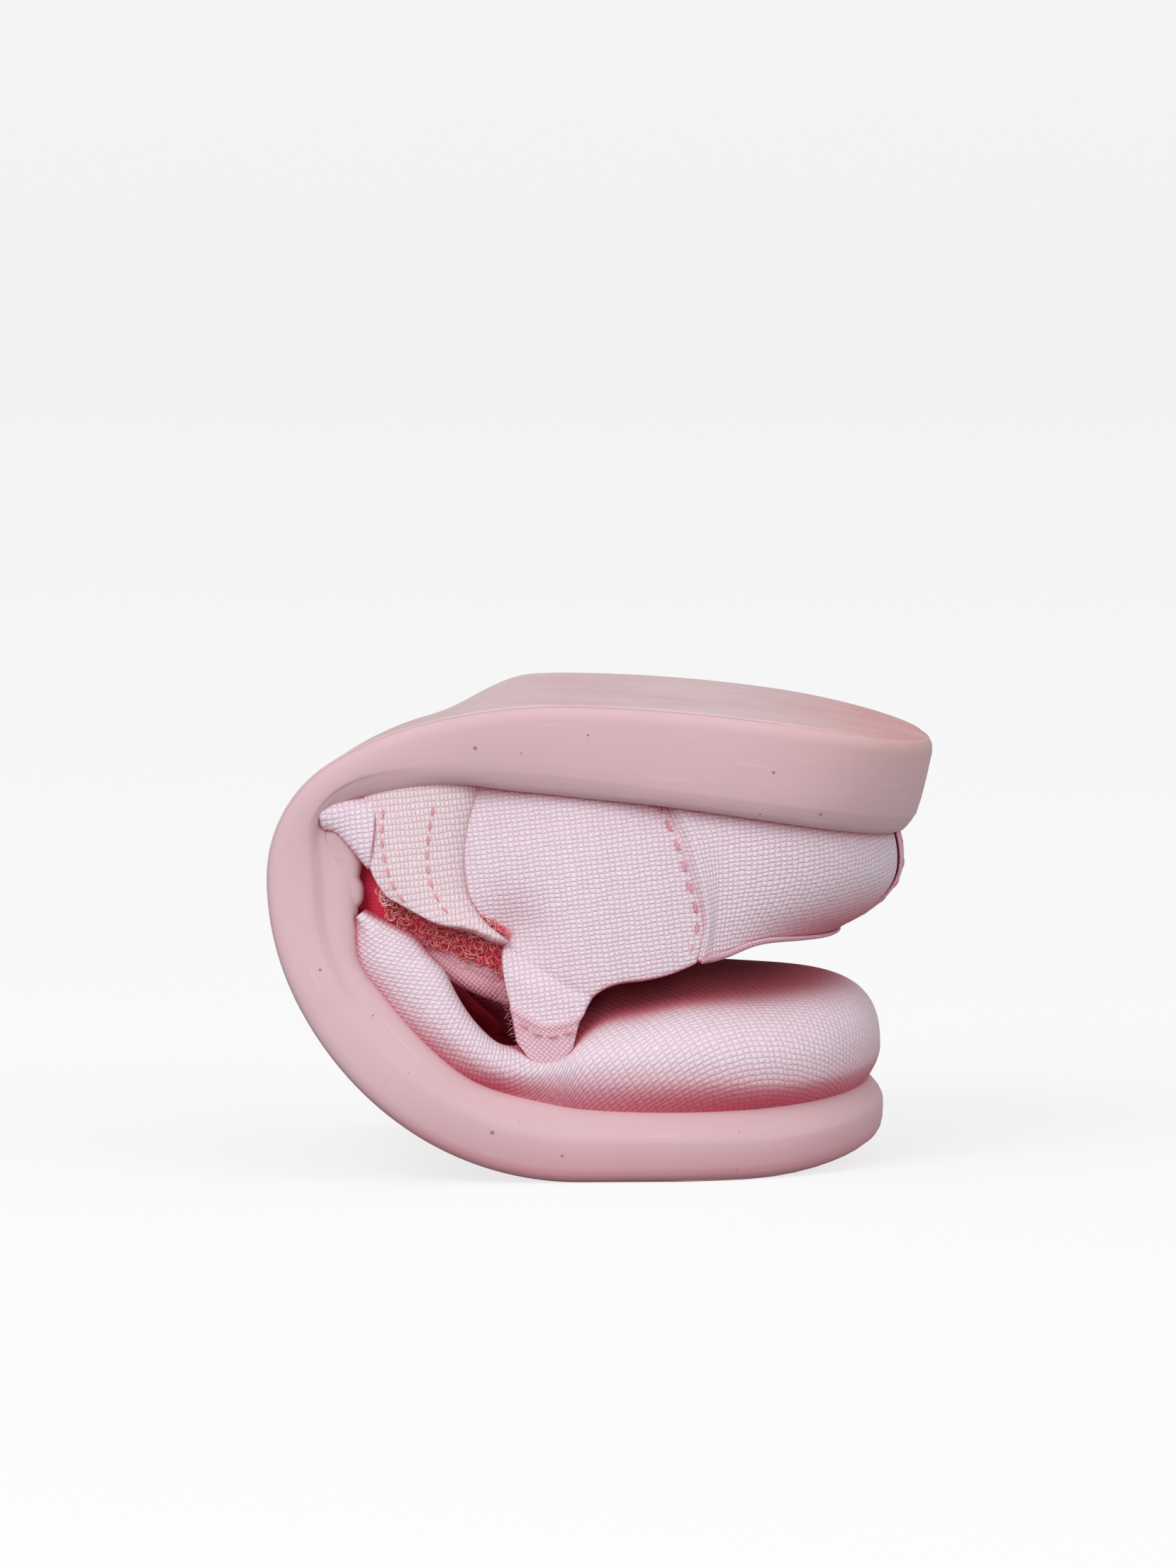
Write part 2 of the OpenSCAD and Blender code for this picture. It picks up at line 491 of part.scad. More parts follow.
for (z = [0 : 5]) {
    outsole(z);
    sidewall(z);
    midsole(z);
    insole(z);
}
for (z = [1, 2]) {
    side_canvas(z);
    side_lining(z);
}
vamp();
vamp_lining();
quarter_near();
quarter_far();
heel_panel();
quarter_lining();
back_tape();
topline_binding();
webbing_near();
webbing_far();
strap();
strap_tab();
hook_patch();
instep_flap();
loop_patch();
flap_binding();
side_seam_stitches();
webbing_stitches();
back_tape_stitches();
strap_tab_stitches();
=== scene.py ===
# A small child's canvas shoe, rolled up heel over toe: the soft rubber sole, the cloth upper and its strap.
import json
import math

import bmesh
import bpy
import numpy as np
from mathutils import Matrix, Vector


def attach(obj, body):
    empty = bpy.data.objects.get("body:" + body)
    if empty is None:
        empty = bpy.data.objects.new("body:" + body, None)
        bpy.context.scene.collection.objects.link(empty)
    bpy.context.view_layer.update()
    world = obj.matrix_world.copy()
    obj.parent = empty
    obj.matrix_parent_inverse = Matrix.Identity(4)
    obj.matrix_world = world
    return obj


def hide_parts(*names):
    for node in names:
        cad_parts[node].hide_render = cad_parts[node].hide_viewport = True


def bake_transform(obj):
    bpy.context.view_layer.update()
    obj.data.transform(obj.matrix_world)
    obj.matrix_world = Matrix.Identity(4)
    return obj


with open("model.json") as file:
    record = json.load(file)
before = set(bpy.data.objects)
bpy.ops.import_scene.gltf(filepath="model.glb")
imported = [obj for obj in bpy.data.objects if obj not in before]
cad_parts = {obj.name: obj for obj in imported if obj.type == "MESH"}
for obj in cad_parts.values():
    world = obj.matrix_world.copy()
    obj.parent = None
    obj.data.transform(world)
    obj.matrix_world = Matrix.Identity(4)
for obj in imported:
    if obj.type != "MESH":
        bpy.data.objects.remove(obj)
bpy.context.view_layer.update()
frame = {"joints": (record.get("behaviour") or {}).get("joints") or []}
mm = 0.001
tiny = 1e-6

# the sole: arcs from toe to heel as (length, angle turned), sizes in millimetres
sole = {
    "arcs": [(14.5, 20), (16, 0), (17, 32.5), (17, 29), (13, 28),
             (13.5, 58), (11, 19.43), (14, 14.07), (36.5, 13)],
    "ballWidth": 58, "heelWidth": 49, "waistWidth": 46,
    "toeEnd": 27, "heelEnd": 20, "endPower": 2.3,
    "hinges": (39, 56, 71, 84.25, 102),
    "joins": (31, 47.5, 63.5, 77.6, 93.1, 113),
    "farTuck": 2.6,
}
soleLength = sum(a[0] for a in sole["arcs"])
bodies = ("toe", "ball", "arch", "waist", "shank", "heel")


def ease(t):
    t = np.clip(t, 0, 1)
    return t * t * (3 - 2 * t)


def mix(a, b, t):
    return a + (b - a) * t


def smoothKeys(keys, x):
    # eased steps from one key to the next
    x = np.asarray(x, float)
    ks = np.array([k[0] for k in keys], float)
    vs = np.array([k[1] for k in keys], float)
    i = np.clip(np.searchsorted(ks, x, side="right") - 1, 0, len(ks) - 2)
    return mix(vs[i], vs[i + 1], ease((x - ks[i]) / (ks[i + 1] - ks[i])))


def flowKeys(keys, x):
    # a smooth curve through the keys, with level ends
    x = np.asarray(x, float)
    ks = np.array([k[0] for k in keys], float)
    vs = np.array([k[1] for k in keys], float)
    slope = np.gradient(vs, ks)
    i = np.clip(np.searchsorted(ks, x, side="right") - 1, 0, len(ks) - 2)
    w = ks[i + 1] - ks[i]
    t = np.clip((x - ks[i]) / w, 0, 1)
    a = 2 * t**3 - 3 * t**2 + 1
    b = t**3 - 2 * t**2 + t
    c = -2 * t**3 + 3 * t**2
    d = t**3 - t**2
    return a * vs[i] + b * w * slope[i] + c * vs[i + 1] + d * w * slope[i + 1]


# the ground line of the sole, walked in small steps and then moved onto the frame's first hinge
step = 0.05
walkS = np.arange(0, soleLength + step, step)
arcEnds = np.cumsum([(0, 0)] + sole["arcs"], axis=0)
turned = np.interp(walkS, arcEnds[:, 0], arcEnds[:, 1])
walkHead = np.radians(180 + sole["arcs"][0][1] - turned)
midHead = (walkHead[1:] + walkHead[:-1]) / 2
walkX = np.concatenate([[0], np.cumsum(np.cos(midHead) * step)])
walkZ = np.concatenate([[0], np.cumsum(np.sin(midHead) * step)])
firstHinge = next(j for j in frame["joints"] if j["child"] == "ball")["pos_m"]
walkX += firstHinge[0] / mm - np.interp(sole["hinges"][0], walkS, walkX)
walkZ += firstHinge[2] / mm - np.interp(sole["hinges"][0], walkS, walkZ)


def groundAt(s):
    return np.interp(s, walkS, walkX), np.interp(s, walkS, walkZ)


def headAt(s):
    return np.interp(s, walkS, walkHead)


def halfWidth(s):
    ball, waist, back = sole["ballWidth"] / 2, sole["waistWidth"] / 2, sole["heelWidth"] / 2
    keys = [(0, ball - 1.5), (45, ball), (86, waist), (112, waist + 0.5), (135, back), (soleLength, back)]
    return smoothKeys(keys, s)


def tuckAt(s):
    # the far side of the bend lies a little further in than the near side
    tuck = -sole["farTuck"]
    return smoothKeys([(50, 0), (68, tuck), (101, tuck), (112, 0), (soleLength, 0)], s)


def spot(s, y, h):
    # s along the ground face, y across, h away from the ground face
    s, y, h = np.broadcast_arrays(np.asarray(s, float), np.asarray(y, float), np.asarray(h, float))
    px, pz = groundAt(s)
    a = np.minimum(headAt(s), math.pi)
    g = h - tuckAt(s) * (y / halfWidth(s) + 1) / 2
    return np.stack([px + g * np.sin(a), y, pz - g * np.cos(a)], -1)


def endDip(u):
    p = sole["endPower"]
    return 1 - np.maximum(0, 1 - np.abs(u) ** p) ** (1 / p)


def toeS(u, d):
    return d + (sole["toeEnd"] - d) * endDip(u)


def heelS(u, d):
    return soleLength - d - (sole["heelEnd"] - d) * endDip(u)


def walked(points):
    # length walked along a line of points, from nothing at its first
    return np.concatenate([[0], np.cumsum(np.linalg.norm(np.diff(points, axis=0), axis=1))])


def flatUv(across, up):
    return np.stack(np.broadcast_arrays(across, up), -1)


# ---- meshes
def unitNormals(p, wrap=False):
    if wrap:
        p = np.concatenate([p[-1:], p, p[:1]])
    n = np.cross(np.gradient(p, axis=0), np.gradient(p, axis=1))
    n /= np.maximum(np.linalg.norm(n, axis=-1, keepdims=True), 1e-9)
    return n[1:-1] if wrap else n


def alongRows(p):
    d = np.linalg.norm(np.diff(p, axis=1), axis=-1)
    return np.concatenate([np.zeros((len(p), 1)), np.cumsum(d, axis=1)], axis=1)


def makeObject(name, verts, faces, uvs=None, normals=None):
    mesh = bpy.data.meshes.new(name)
    mesh.from_pydata((np.asarray(verts) * mm).tolist(), [], faces)
    if uvs is not None:
        layer = mesh.uv_layers.new(name="cloth")
        loopVerts = np.zeros(len(mesh.loops), int)
        mesh.loops.foreach_get("vertex_index", loopVerts)
        layer.data.foreach_set("uv", (np.asarray(uvs)[loopVerts] * mm).astype(np.float32).ravel())
    work = bmesh.new()
    work.from_mesh(mesh)
    bmesh.ops.recalc_face_normals(work, faces=work.faces)
    work.to_mesh(mesh)
    work.free()
    mesh.polygons.foreach_set("use_smooth", [True] * len(mesh.polygons))
    mesh.update()
    if normals is not None:
        own = np.array([v.normal for v in mesh.vertices], float)
        facing = np.where((own * normals).sum(-1, keepdims=True) < 0, -1.0, 1.0)
        mesh.normals_split_custom_set_from_vertices((normals * facing).tolist())
    piece = bpy.data.objects.new(name, mesh)
    bpy.context.scene.collection.objects.link(piece)
    return piece


def gridFaces(rows, cols, first=0):
    ids = [first + i * cols + j for i in range(rows - 1) for j in range(cols - 1)]
    return [(a, a + 1, a + cols + 1, a + cols) for a in ids]


def rimLoop(rows, cols):
    # the numbers of a grid's points round its rim
    loop = [(0, j) for j in range(cols)] + [(i, cols - 1) for i in range(1, rows)]
    loop += [(rows - 1, j) for j in range(cols - 2, -1, -1)] + [(i, 0) for i in range(rows - 2, 0, -1)]
    return [i * cols + j for i, j in loop]


def applied(piece):
    # the piece's modifiers become its mesh
    graph = bpy.context.evaluated_depsgraph_get()
    piece.data = bpy.data.meshes.new_from_object(piece.evaluated_get(graph), depsgraph=graph)
    piece.modifiers.clear()
    return piece


def cloth(name, patches, thick, weld=0.02):
    # patches: (points, uvs) grids that share their edges. The cloth has its thickness and a soft rim.
    verts, uvs, faces = [], [], []
    for points, uv in patches:
        rows, cols = points.shape[:2]
        faces += gridFaces(rows, cols, first=sum(len(v) for v in verts))
        verts.append(points.reshape(-1, 3))
        uvs.append(uv.reshape(-1, 2))
    piece = makeObject(name, np.concatenate(verts), faces, np.concatenate(uvs))
    work = bmesh.new()
    work.from_mesh(piece.data)
    bmesh.ops.remove_doubles(work, verts=work.verts, dist=weld * mm)
    bmesh.ops.recalc_face_normals(work, faces=work.faces)
    work.to_mesh(piece.data)
    work.free()
    solid = piece.modifiers.new("thickness", "SOLIDIFY")
    solid.thickness = thick * mm
    solid.offset = 0
    solid.use_even_offset = True
    soft = piece.modifiers.new("soft rim", "SUBSURF")
    soft.levels = soft.render_levels = 1
    return applied(piece)


def evenLine(line, n):
    # n points along a line, evenly spaced, on a smooth curve through its own points
    line = np.asarray(line, float)
    d = walked(line)
    t = np.linspace(0, d[-1], n)
    return np.stack([flowKeys(list(zip(d, line[:, k])), t) for k in range(line.shape[1])], -1)


def coons(front, back, start, end, rows, cols):
    # a surface between four edges: front and back run with the columns, start and end with the rows
    f = front if len(front) == cols else evenLine(front, cols)
    b = back if len(back) == cols else evenLine(back, cols)
    s, e = evenLine(start, rows), evenLine(end, rows)
    u = np.linspace(0, 1, cols)[None, :, None]
    v = np.linspace(0, 1, rows)[:, None, None]
    corner = (1 - v) * ((1 - u) * f[0] + u * f[-1]) + v * ((1 - u) * b[0] + u * b[-1])
    return (1 - v) * f[None] + v * b[None] + (1 - u) * s[:, None] + u * e[:, None] - corner


def between(front, back, rows):
    # a surface between two lines of as many points, with straight ends
    first, last = np.stack([front[0], back[0]]), np.stack([front[-1], back[-1]])
    return coons(front, back, first, last, rows, len(front))


def tube(points, radius, sides=6, taper=0.0):
    # a closed round rope along the points
    p = np.asarray(points, float)
    t = np.gradient(p, axis=0)
    t /= np.linalg.norm(t, axis=1, keepdims=True)
    side = np.cross(t, [0.31, 0.8, 0.51])
    side /= np.linalg.norm(side, axis=1, keepdims=True)
    up = np.cross(t, side)
    a = np.linspace(0, 2 * math.pi, sides, endpoint=False)
    shape = np.sin(np.linspace(0.12, 0.88, len(p)) * math.pi) ** 0.5 if taper else np.ones(len(p))
    ring = np.cos(a)[None, :, None] * side[:, None] + np.sin(a)[None, :, None] * up[:, None]
    verts = (p[:, None] + ring * (radius * shape)[:, None, None]).reshape(-1, 3)
    turn = [(j, (j + 1) % sides) for j in range(sides)]
    faces = [(i * sides + a, i * sides + b, (i + 1) * sides + b, (i + 1) * sides + a)
             for i in range(len(p) - 1) for a, b in turn]
    faces += [tuple(range(sides))[::-1], tuple((len(p) - 1) * sides + j for j in range(sides))]
    return verts, faces


def joined(name, parts):
    verts, faces, uvs = [], [], []
    count = 0
    for v, f in parts:
        verts.append(v)
        faces += [tuple(count + i for i in q) for q in f]
        uvs.append(flatUv(v[:, 0] + v[:, 1] * 0.37, v[:, 2]))
        count += len(v)
    return makeObject(name, np.concatenate(verts), faces, np.concatenate(uvs))


def stitchRow(line, outward, length=1.55, pitch=2.2, radius=0.2, lift=0.12):
    # short threads laid along a line, each dipping into the cloth at its ends
    line = np.asarray(line, float)
    d = walked(line)
    parts = []
    at = pitch * 0.3
    while at + length < d[-1]:
        t = np.linspace(at, at + length, 7)
        p = np.stack([np.interp(t, d, line[:, k]) for k in range(3)], -1)
        arch = np.sin(np.linspace(0, math.pi, 7)) * (lift + radius * 0.8) - radius * 0.55
        parts.append(tube(p + arch[:, None] * np.asarray(outward, float), radius, 6, taper=1))
        at += pitch
    return parts


# ---- joints: where each skin turns from one body to the next
def hingeSpan(k, top):
    s0, s1 = sole["joins"][k], sole["joins"][k + 1]
    head = headAt(sole["hinges"][k])
    d = np.array([math.cos(head), 0, math.sin(head)])
    origin = spot(sole["hinges"][k], 0, 0)
    h = np.array([0, top])
    low = max((spot(s0, 0, h) - origin) @ d)
    high = min((spot(s1, 0, h) - origin) @ d)
    return [tuple((origin + d * t) * mm) for t in (low, high)]


hingeTops = (13.5, 13.5, 11, 9, 12)


def bendPiece(piece, k):
    start, end = hingeSpan(k, hingeTops[k])
    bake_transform(piece)


print("frame and sole line ready")


# ---- finishes
def feed(tree, node, inputs):
    # each input, by label or number, takes a value or another node's socket
    for label, value in inputs.items():
        if isinstance(value, bpy.types.NodeSocket):
            tree.links.new(value, node.inputs[label])
        elif value is not None:
            node.inputs[label].default_value = value


def nodeIn(tree, kind, inputs=None, **settings):
    node = tree.nodes.new(kind)
    for key, value in settings.items():
        setattr(node, key, value)
    feed(tree, node, inputs or {})
    return node


def calc(tree, operation, *values):
    return nodeIn(tree, "ShaderNodeMath", dict(enumerate(values)), operation=operation).outputs[0]


def product(tree, *values):
    total = values[0]
    for value in values[1:]:
        total = calc(tree, "MULTIPLY", total, value)
    return total


def blendColour(tree, share, low, high):
    inputs = {"Factor": share, 6: low, 7: high}
    return nodeIn(tree, "ShaderNodeMix", inputs, data_type="RGBA").outputs[2]


def noiseIn(tree, vector, scale, detail=2.0, rough=0.5, kind="3D"):
    inputs = {"Vector": vector, "Scale": scale, "Detail": detail, "Roughness": rough}
    return nodeIn(tree, "ShaderNodeTexNoise", inputs, noise_dimensions=kind).outputs["Fac"]


def spread(tree, value, low, high, least=0.0, most=1.0, kind="LINEAR"):
    # low to high becomes least to most
    inputs = {"Value": value, "From Min": low, "From Max": high, "To Min": least, "To Max": most}
    return nodeIn(tree, "ShaderNodeMapRange", inputs, interpolation_type=kind).outputs[0]


def bumpOf(tree, height, strength, depth):
    inputs = {"Height": height, "Strength": strength, "Distance": depth * mm}
    return nodeIn(tree, "ShaderNodeBump", inputs).outputs[0]


def newGroup(name, inputs, outputs):
    group = bpy.data.node_groups.new(name, "ShaderNodeTree")
    for label, kind, value in inputs:
        socket = group.interface.new_socket(label, in_out="INPUT", socket_type=kind)
        if value is not None:
            socket.default_value = value
    for label, kind in outputs:
        group.interface.new_socket(label, in_out="OUTPUT", socket_type=kind)
    return group, group.nodes.new("NodeGroupInput"), group.nodes.new("NodeGroupOutput")


def weaveGroup():
    # plain weave: yarns over and under by turns, each yarn a little different
    group, start, end = newGroup(
        "plain weave",
        [("Vector", "NodeSocketVector", None), ("Warp Pitch", "NodeSocketFloat", 0.7),
         ("Weft Pitch", "NodeSocketFloat", 0.6), ("Wobble", "NodeSocketFloat", 0.25),
         ("Rib", "NodeSocketFloat", 0.8)],
        [("Height", "NodeSocketFloat"), ("Crest", "NodeSocketFloat"), ("Yarn", "NodeSocketFloat")])
    t = group
    vector = start.outputs["Vector"]
    wander = nodeIn(t, "ShaderNodeTexNoise", {"Vector": vector, "Scale": 0.55, "Detail": 2},
                    noise_dimensions="2D")
    shift = nodeIn(t, "ShaderNodeVectorMath", {0: wander.outputs["Color"], 1: (0.5, 0.5, 0.5)},
                   operation="SUBTRACT")
    grown = nodeIn(t, "ShaderNodeVectorMath", {0: shift.outputs[0], "Scale": start.outputs["Wobble"]},
                   operation="SCALE")
    moved = nodeIn(t, "ShaderNodeVectorMath", {0: vector, 1: grown.outputs[0]}, operation="ADD")
    split = nodeIn(t, "ShaderNodeSeparateXYZ", {0: moved.outputs[0]})
    x = calc(t, "DIVIDE", split.outputs[0], start.outputs["Warp Pitch"])
    y = calc(t, "DIVIDE", split.outputs[1], start.outputs["Weft Pitch"])
    ix, iy = calc(t, "FLOOR", x), calc(t, "FLOOR", y)
    sx, sy = [calc(t, "SINE", product(t, calc(t, "SUBTRACT", a, b), math.pi)) for a, b in ((x, ix), (y, iy))]
    over = calc(t, "GREATER_THAN", calc(t, "FRACT", product(t, calc(t, "ADD", ix, iy), 0.5)), 0.25)
    under = calc(t, "SUBTRACT", 1.0, over)
    warp = product(t, calc(t, "POWER", sx, 0.75), calc(t, "POWER", sy, 0.35))
    weft = product(t, calc(t, "POWER", sy, 0.75), calc(t, "POWER", sx, 0.35), start.outputs["Rib"])
    top = calc(t, "ADD", product(t, over, warp), product(t, under, weft))
    fuzz = noiseIn(t, moved.outputs[0], 5.5, 3, 0.6, "2D")
    height = calc(t, "ADD", top, product(t, fuzz, 0.35))
    cell = nodeIn(t, "ShaderNodeCombineXYZ", {0: product(t, ix, over), 1: product(t, iy, under)})
    random = nodeIn(t, "ShaderNodeTexWhiteNoise", {"Vector": cell.outputs[0]}, noise_dimensions="2D")
    feed(t, end, {"Height": height, "Crest": top, "Yarn": random.outputs["Value"]})
    return group


def rubberGroup():
    # soft matt rubber: small pits, fine grain, faint clouds and a few scratches
    group, start, end = newGroup(
        "soft rubber",
        [("Vector", "NodeSocketVector", None), ("Pits", "NodeSocketFloat", 0.2),
         ("Grain", "NodeSocketFloat", 3.0)],
        [("Height", "NodeSocketFloat"), ("Pit", "NodeSocketFloat"), ("Cloud", "NodeSocketFloat"),
         ("Scratch", "NodeSocketFloat")])
    t = group
    vector = start.outputs["Vector"]
    pits = nodeIn(t, "ShaderNodeTexVoronoi", {"Vector": vector, "Scale": start.outputs["Pits"]},
                  voronoi_dimensions="2D")
    # most pits are tiny, and a few are large
    chance = nodeIn(t, "ShaderNodeSeparateColor", {0: pits.outputs["Color"]})
    size = product(t, calc(t, "POWER", chance.outputs[0], 2.5), 0.034)
    pit = calc(t, "LESS_THAN", pits.outputs["Distance"], size)
    grain = noiseIn(t, vector, start.outputs["Grain"], 4, 0.5, "2D")
    cloud = noiseIn(t, vector, 0.09, 3, 0.6, "2D")
    streak = nodeIn(t, "ShaderNodeMapping", {"Vector": vector, "Rotation": (0, 0, 0.5),
                                             "Scale": (0.12, 1.6, 1)})
    line = noiseIn(t, streak.outputs[0], 0.8, 1, 0.4, "2D")
    scratch = calc(t, "GREATER_THAN", line, 0.78)
    height = calc(t, "SUBTRACT", product(t, grain, 0.25), pit)
    height = calc(t, "SUBTRACT", height, product(t, scratch, 0.3))
    feed(t, end, {"Height": height, "Pit": pit, "Cloud": cloud, "Scratch": scratch})
    return group


def newMaterial(name):
    material = bpy.data.materials.new(name)
    material.use_nodes = True
    tree = material.node_tree
    return material, tree, tree.nodes["Principled BSDF"]


def clothPlace(tree, turn=0.0):
    # the cloth's own flat coordinates, in millimetres
    flat = {"Vector": nodeIn(tree, "ShaderNodeTexCoord").outputs["UV"], "Scale": (1 / mm, 1 / mm, 1),
            "Rotation": (0, 0, math.radians(turn))}
    return nodeIn(tree, "ShaderNodeMapping", flat).outputs[0]


def srgb(r, g, b):
    def linear(v):
        v /= 255
        return v / 12.92 if v < 0.04045 else ((v + 0.055) / 1.055) ** 2.4
    return (linear(r), linear(g), linear(b), 1)


def paintedHollowShade(tree, most, reach=20):
    # painted shade: how far a point lies in a hollow between folds, by ambient occlusion; there the colour is
    # pushed toward a deep red shade colour
    hollow = nodeIn(tree, "ShaderNodeAmbientOcclusion", {"Distance": reach * mm}, samples=6)
    return spread(tree, hollow.outputs["AO"], 0.72, 0.27, most=most, kind="SMOOTHSTEP")


def wovenMaterial(name, look):
    material, tree, shader = newMaterial(name)
    flat = clothPlace(tree, look["turn"])
    weave = nodeIn(tree, "ShaderNodeGroup", node_tree=groups["weave"])
    feed(tree, weave, {"Vector": flat, "Warp Pitch": look["warp"], "Weft Pitch": look["weft"],
                       "Wobble": look["wobble"], "Rib": look["rib"]})
    crest = weave.outputs["Crest"]
    # painted shade and highlight: yarn crests lighter, the gaps between the yarns darker
    base = blendColour(tree, spread(tree, crest, 0.25, 0.85), look["gapShade"], look["yarn"])
    uneven = product(tree, calc(tree, "SUBTRACT", weave.outputs["Yarn"], 0.5), look["uneven"])
    tone = nodeIn(tree, "ShaderNodeHueSaturation", {"Color": base, "Value": calc(tree, "ADD", 1.0, uneven)})
    cloud = noiseIn(tree, flat, 0.12, 2, 0.5, "2D")
    base = blendColour(tree, product(tree, cloud, look["cloud"]), tone.outputs[0], look["shade"])
    # painted shade: the cloth turns deep red in hollows between folds
    base = blendColour(tree, paintedHollowShade(tree, look["hollow"], 50), base, look["paintedShade"])
    feed(tree, shader, {
        "Base Color": base, "Roughness": spread(tree, crest, 0, 1, 0.98, 0.86),
        "Normal": bumpOf(tree, weave.outputs["Height"], look["bump"], look["depth"]),
        "Specular IOR Level": 0.15, "Sheen Weight": look["sheen"], "Sheen Roughness": 0.5})
    return material


def wornShare(tree, most):
    # the back of the heel is rubbed and soiled where it meets the ground
    coords = nodeIn(tree, "ShaderNodeTexCoord").outputs["Object"]
    split = nodeIn(tree, "ShaderNodeSeparateXYZ", {0: coords})
    back = spread(tree, split.outputs[0], 12 * mm, 32 * mm, kind="SMOOTHSTEP")
    edge = spread(tree, split.outputs[2], 38.6 * mm, 41.6 * mm, kind="SMOOTHSTEP")
    return product(tree, back, edge, noiseIn(tree, coords, 120, 3, 0.6), most)


def rubberMaterial(name, look):
    material, tree, shader = newMaterial(name)
    rubber = nodeIn(tree, "ShaderNodeGroup", node_tree=groups["rubber"])
    feed(tree, rubber, {"Vector": clothPlace(tree), "Pits": look["pits"], "Grain": look["grain"]})
    cloud = rubber.outputs["Cloud"]
    base = blendColour(tree, spread(tree, cloud, 0.35, 0.7), look["colour"], look["tint"])
    base = blendColour(tree, product(tree, rubber.outputs["Pit"], 0.75), base, look["pit"])
    base = blendColour(tree, product(tree, rubber.outputs["Scratch"], 0.25), base, look["pale"])
    base = blendColour(tree, wornShare(tree, look["worn"]), base, look["wornColour"])
    # painted shade: the rubber turns pink-red in hollows and crevices
    base = blendColour(tree, paintedHollowShade(tree, 0.45), base, srgb(206, 96, 116))
    feed(tree, shader, {
        "Base Color": base, "Roughness": spread(tree, cloud, 0, 1, look["rough"] - 0.06, look["rough"] + 0.1),
        "Normal": bumpOf(tree, rubber.outputs["Height"], look["bump"], look["depth"]),
        "Specular IOR Level": 0.32, "Subsurface Weight": 0.12, "Subsurface Radius": (1.0, 0.45, 0.4),
        "Subsurface Scale": 1.2 * mm})
    return material


def threadMaterial(name, look):
    # twisted yarn or fibre: fine slanting ply lines over an uneven colour
    material, tree, shader = newMaterial(name)
    coords = nodeIn(tree, "ShaderNodeTexCoord").outputs["Object"]
    flat = nodeIn(tree, "ShaderNodeMapping", {"Vector": coords, "Scale": (1 / mm, 1 / mm, 1 / mm)}).outputs[0]
    ply = nodeIn(tree, "ShaderNodeTexWave", {"Vector": flat, "Scale": look["ply"], "Distortion": 1.5},
                 wave_type="BANDS", bands_direction="DIAGONAL").outputs["Fac"]
    cloud = noiseIn(tree, flat, look["cloud"], 2)
    base = blendColour(tree, cloud, look["colour"], look["shade"])
    base = blendColour(tree, product(tree, ply, 0.35), base, look["pale"])
    # painted shade: the thread turns deep red in hollows
    base = blendColour(tree, paintedHollowShade(tree, 0.8), base, srgb(214, 62, 84))
    feed(tree, shader, {
        "Base Color": base, "Roughness": calc(tree, "ADD", 0.6, product(tree, cloud, 0.3)),
        "Normal": bumpOf(tree, ply, 0.5, 0.05), "Specular IOR Level": 0.2, "Sheen Weight": 0.15})
    return material


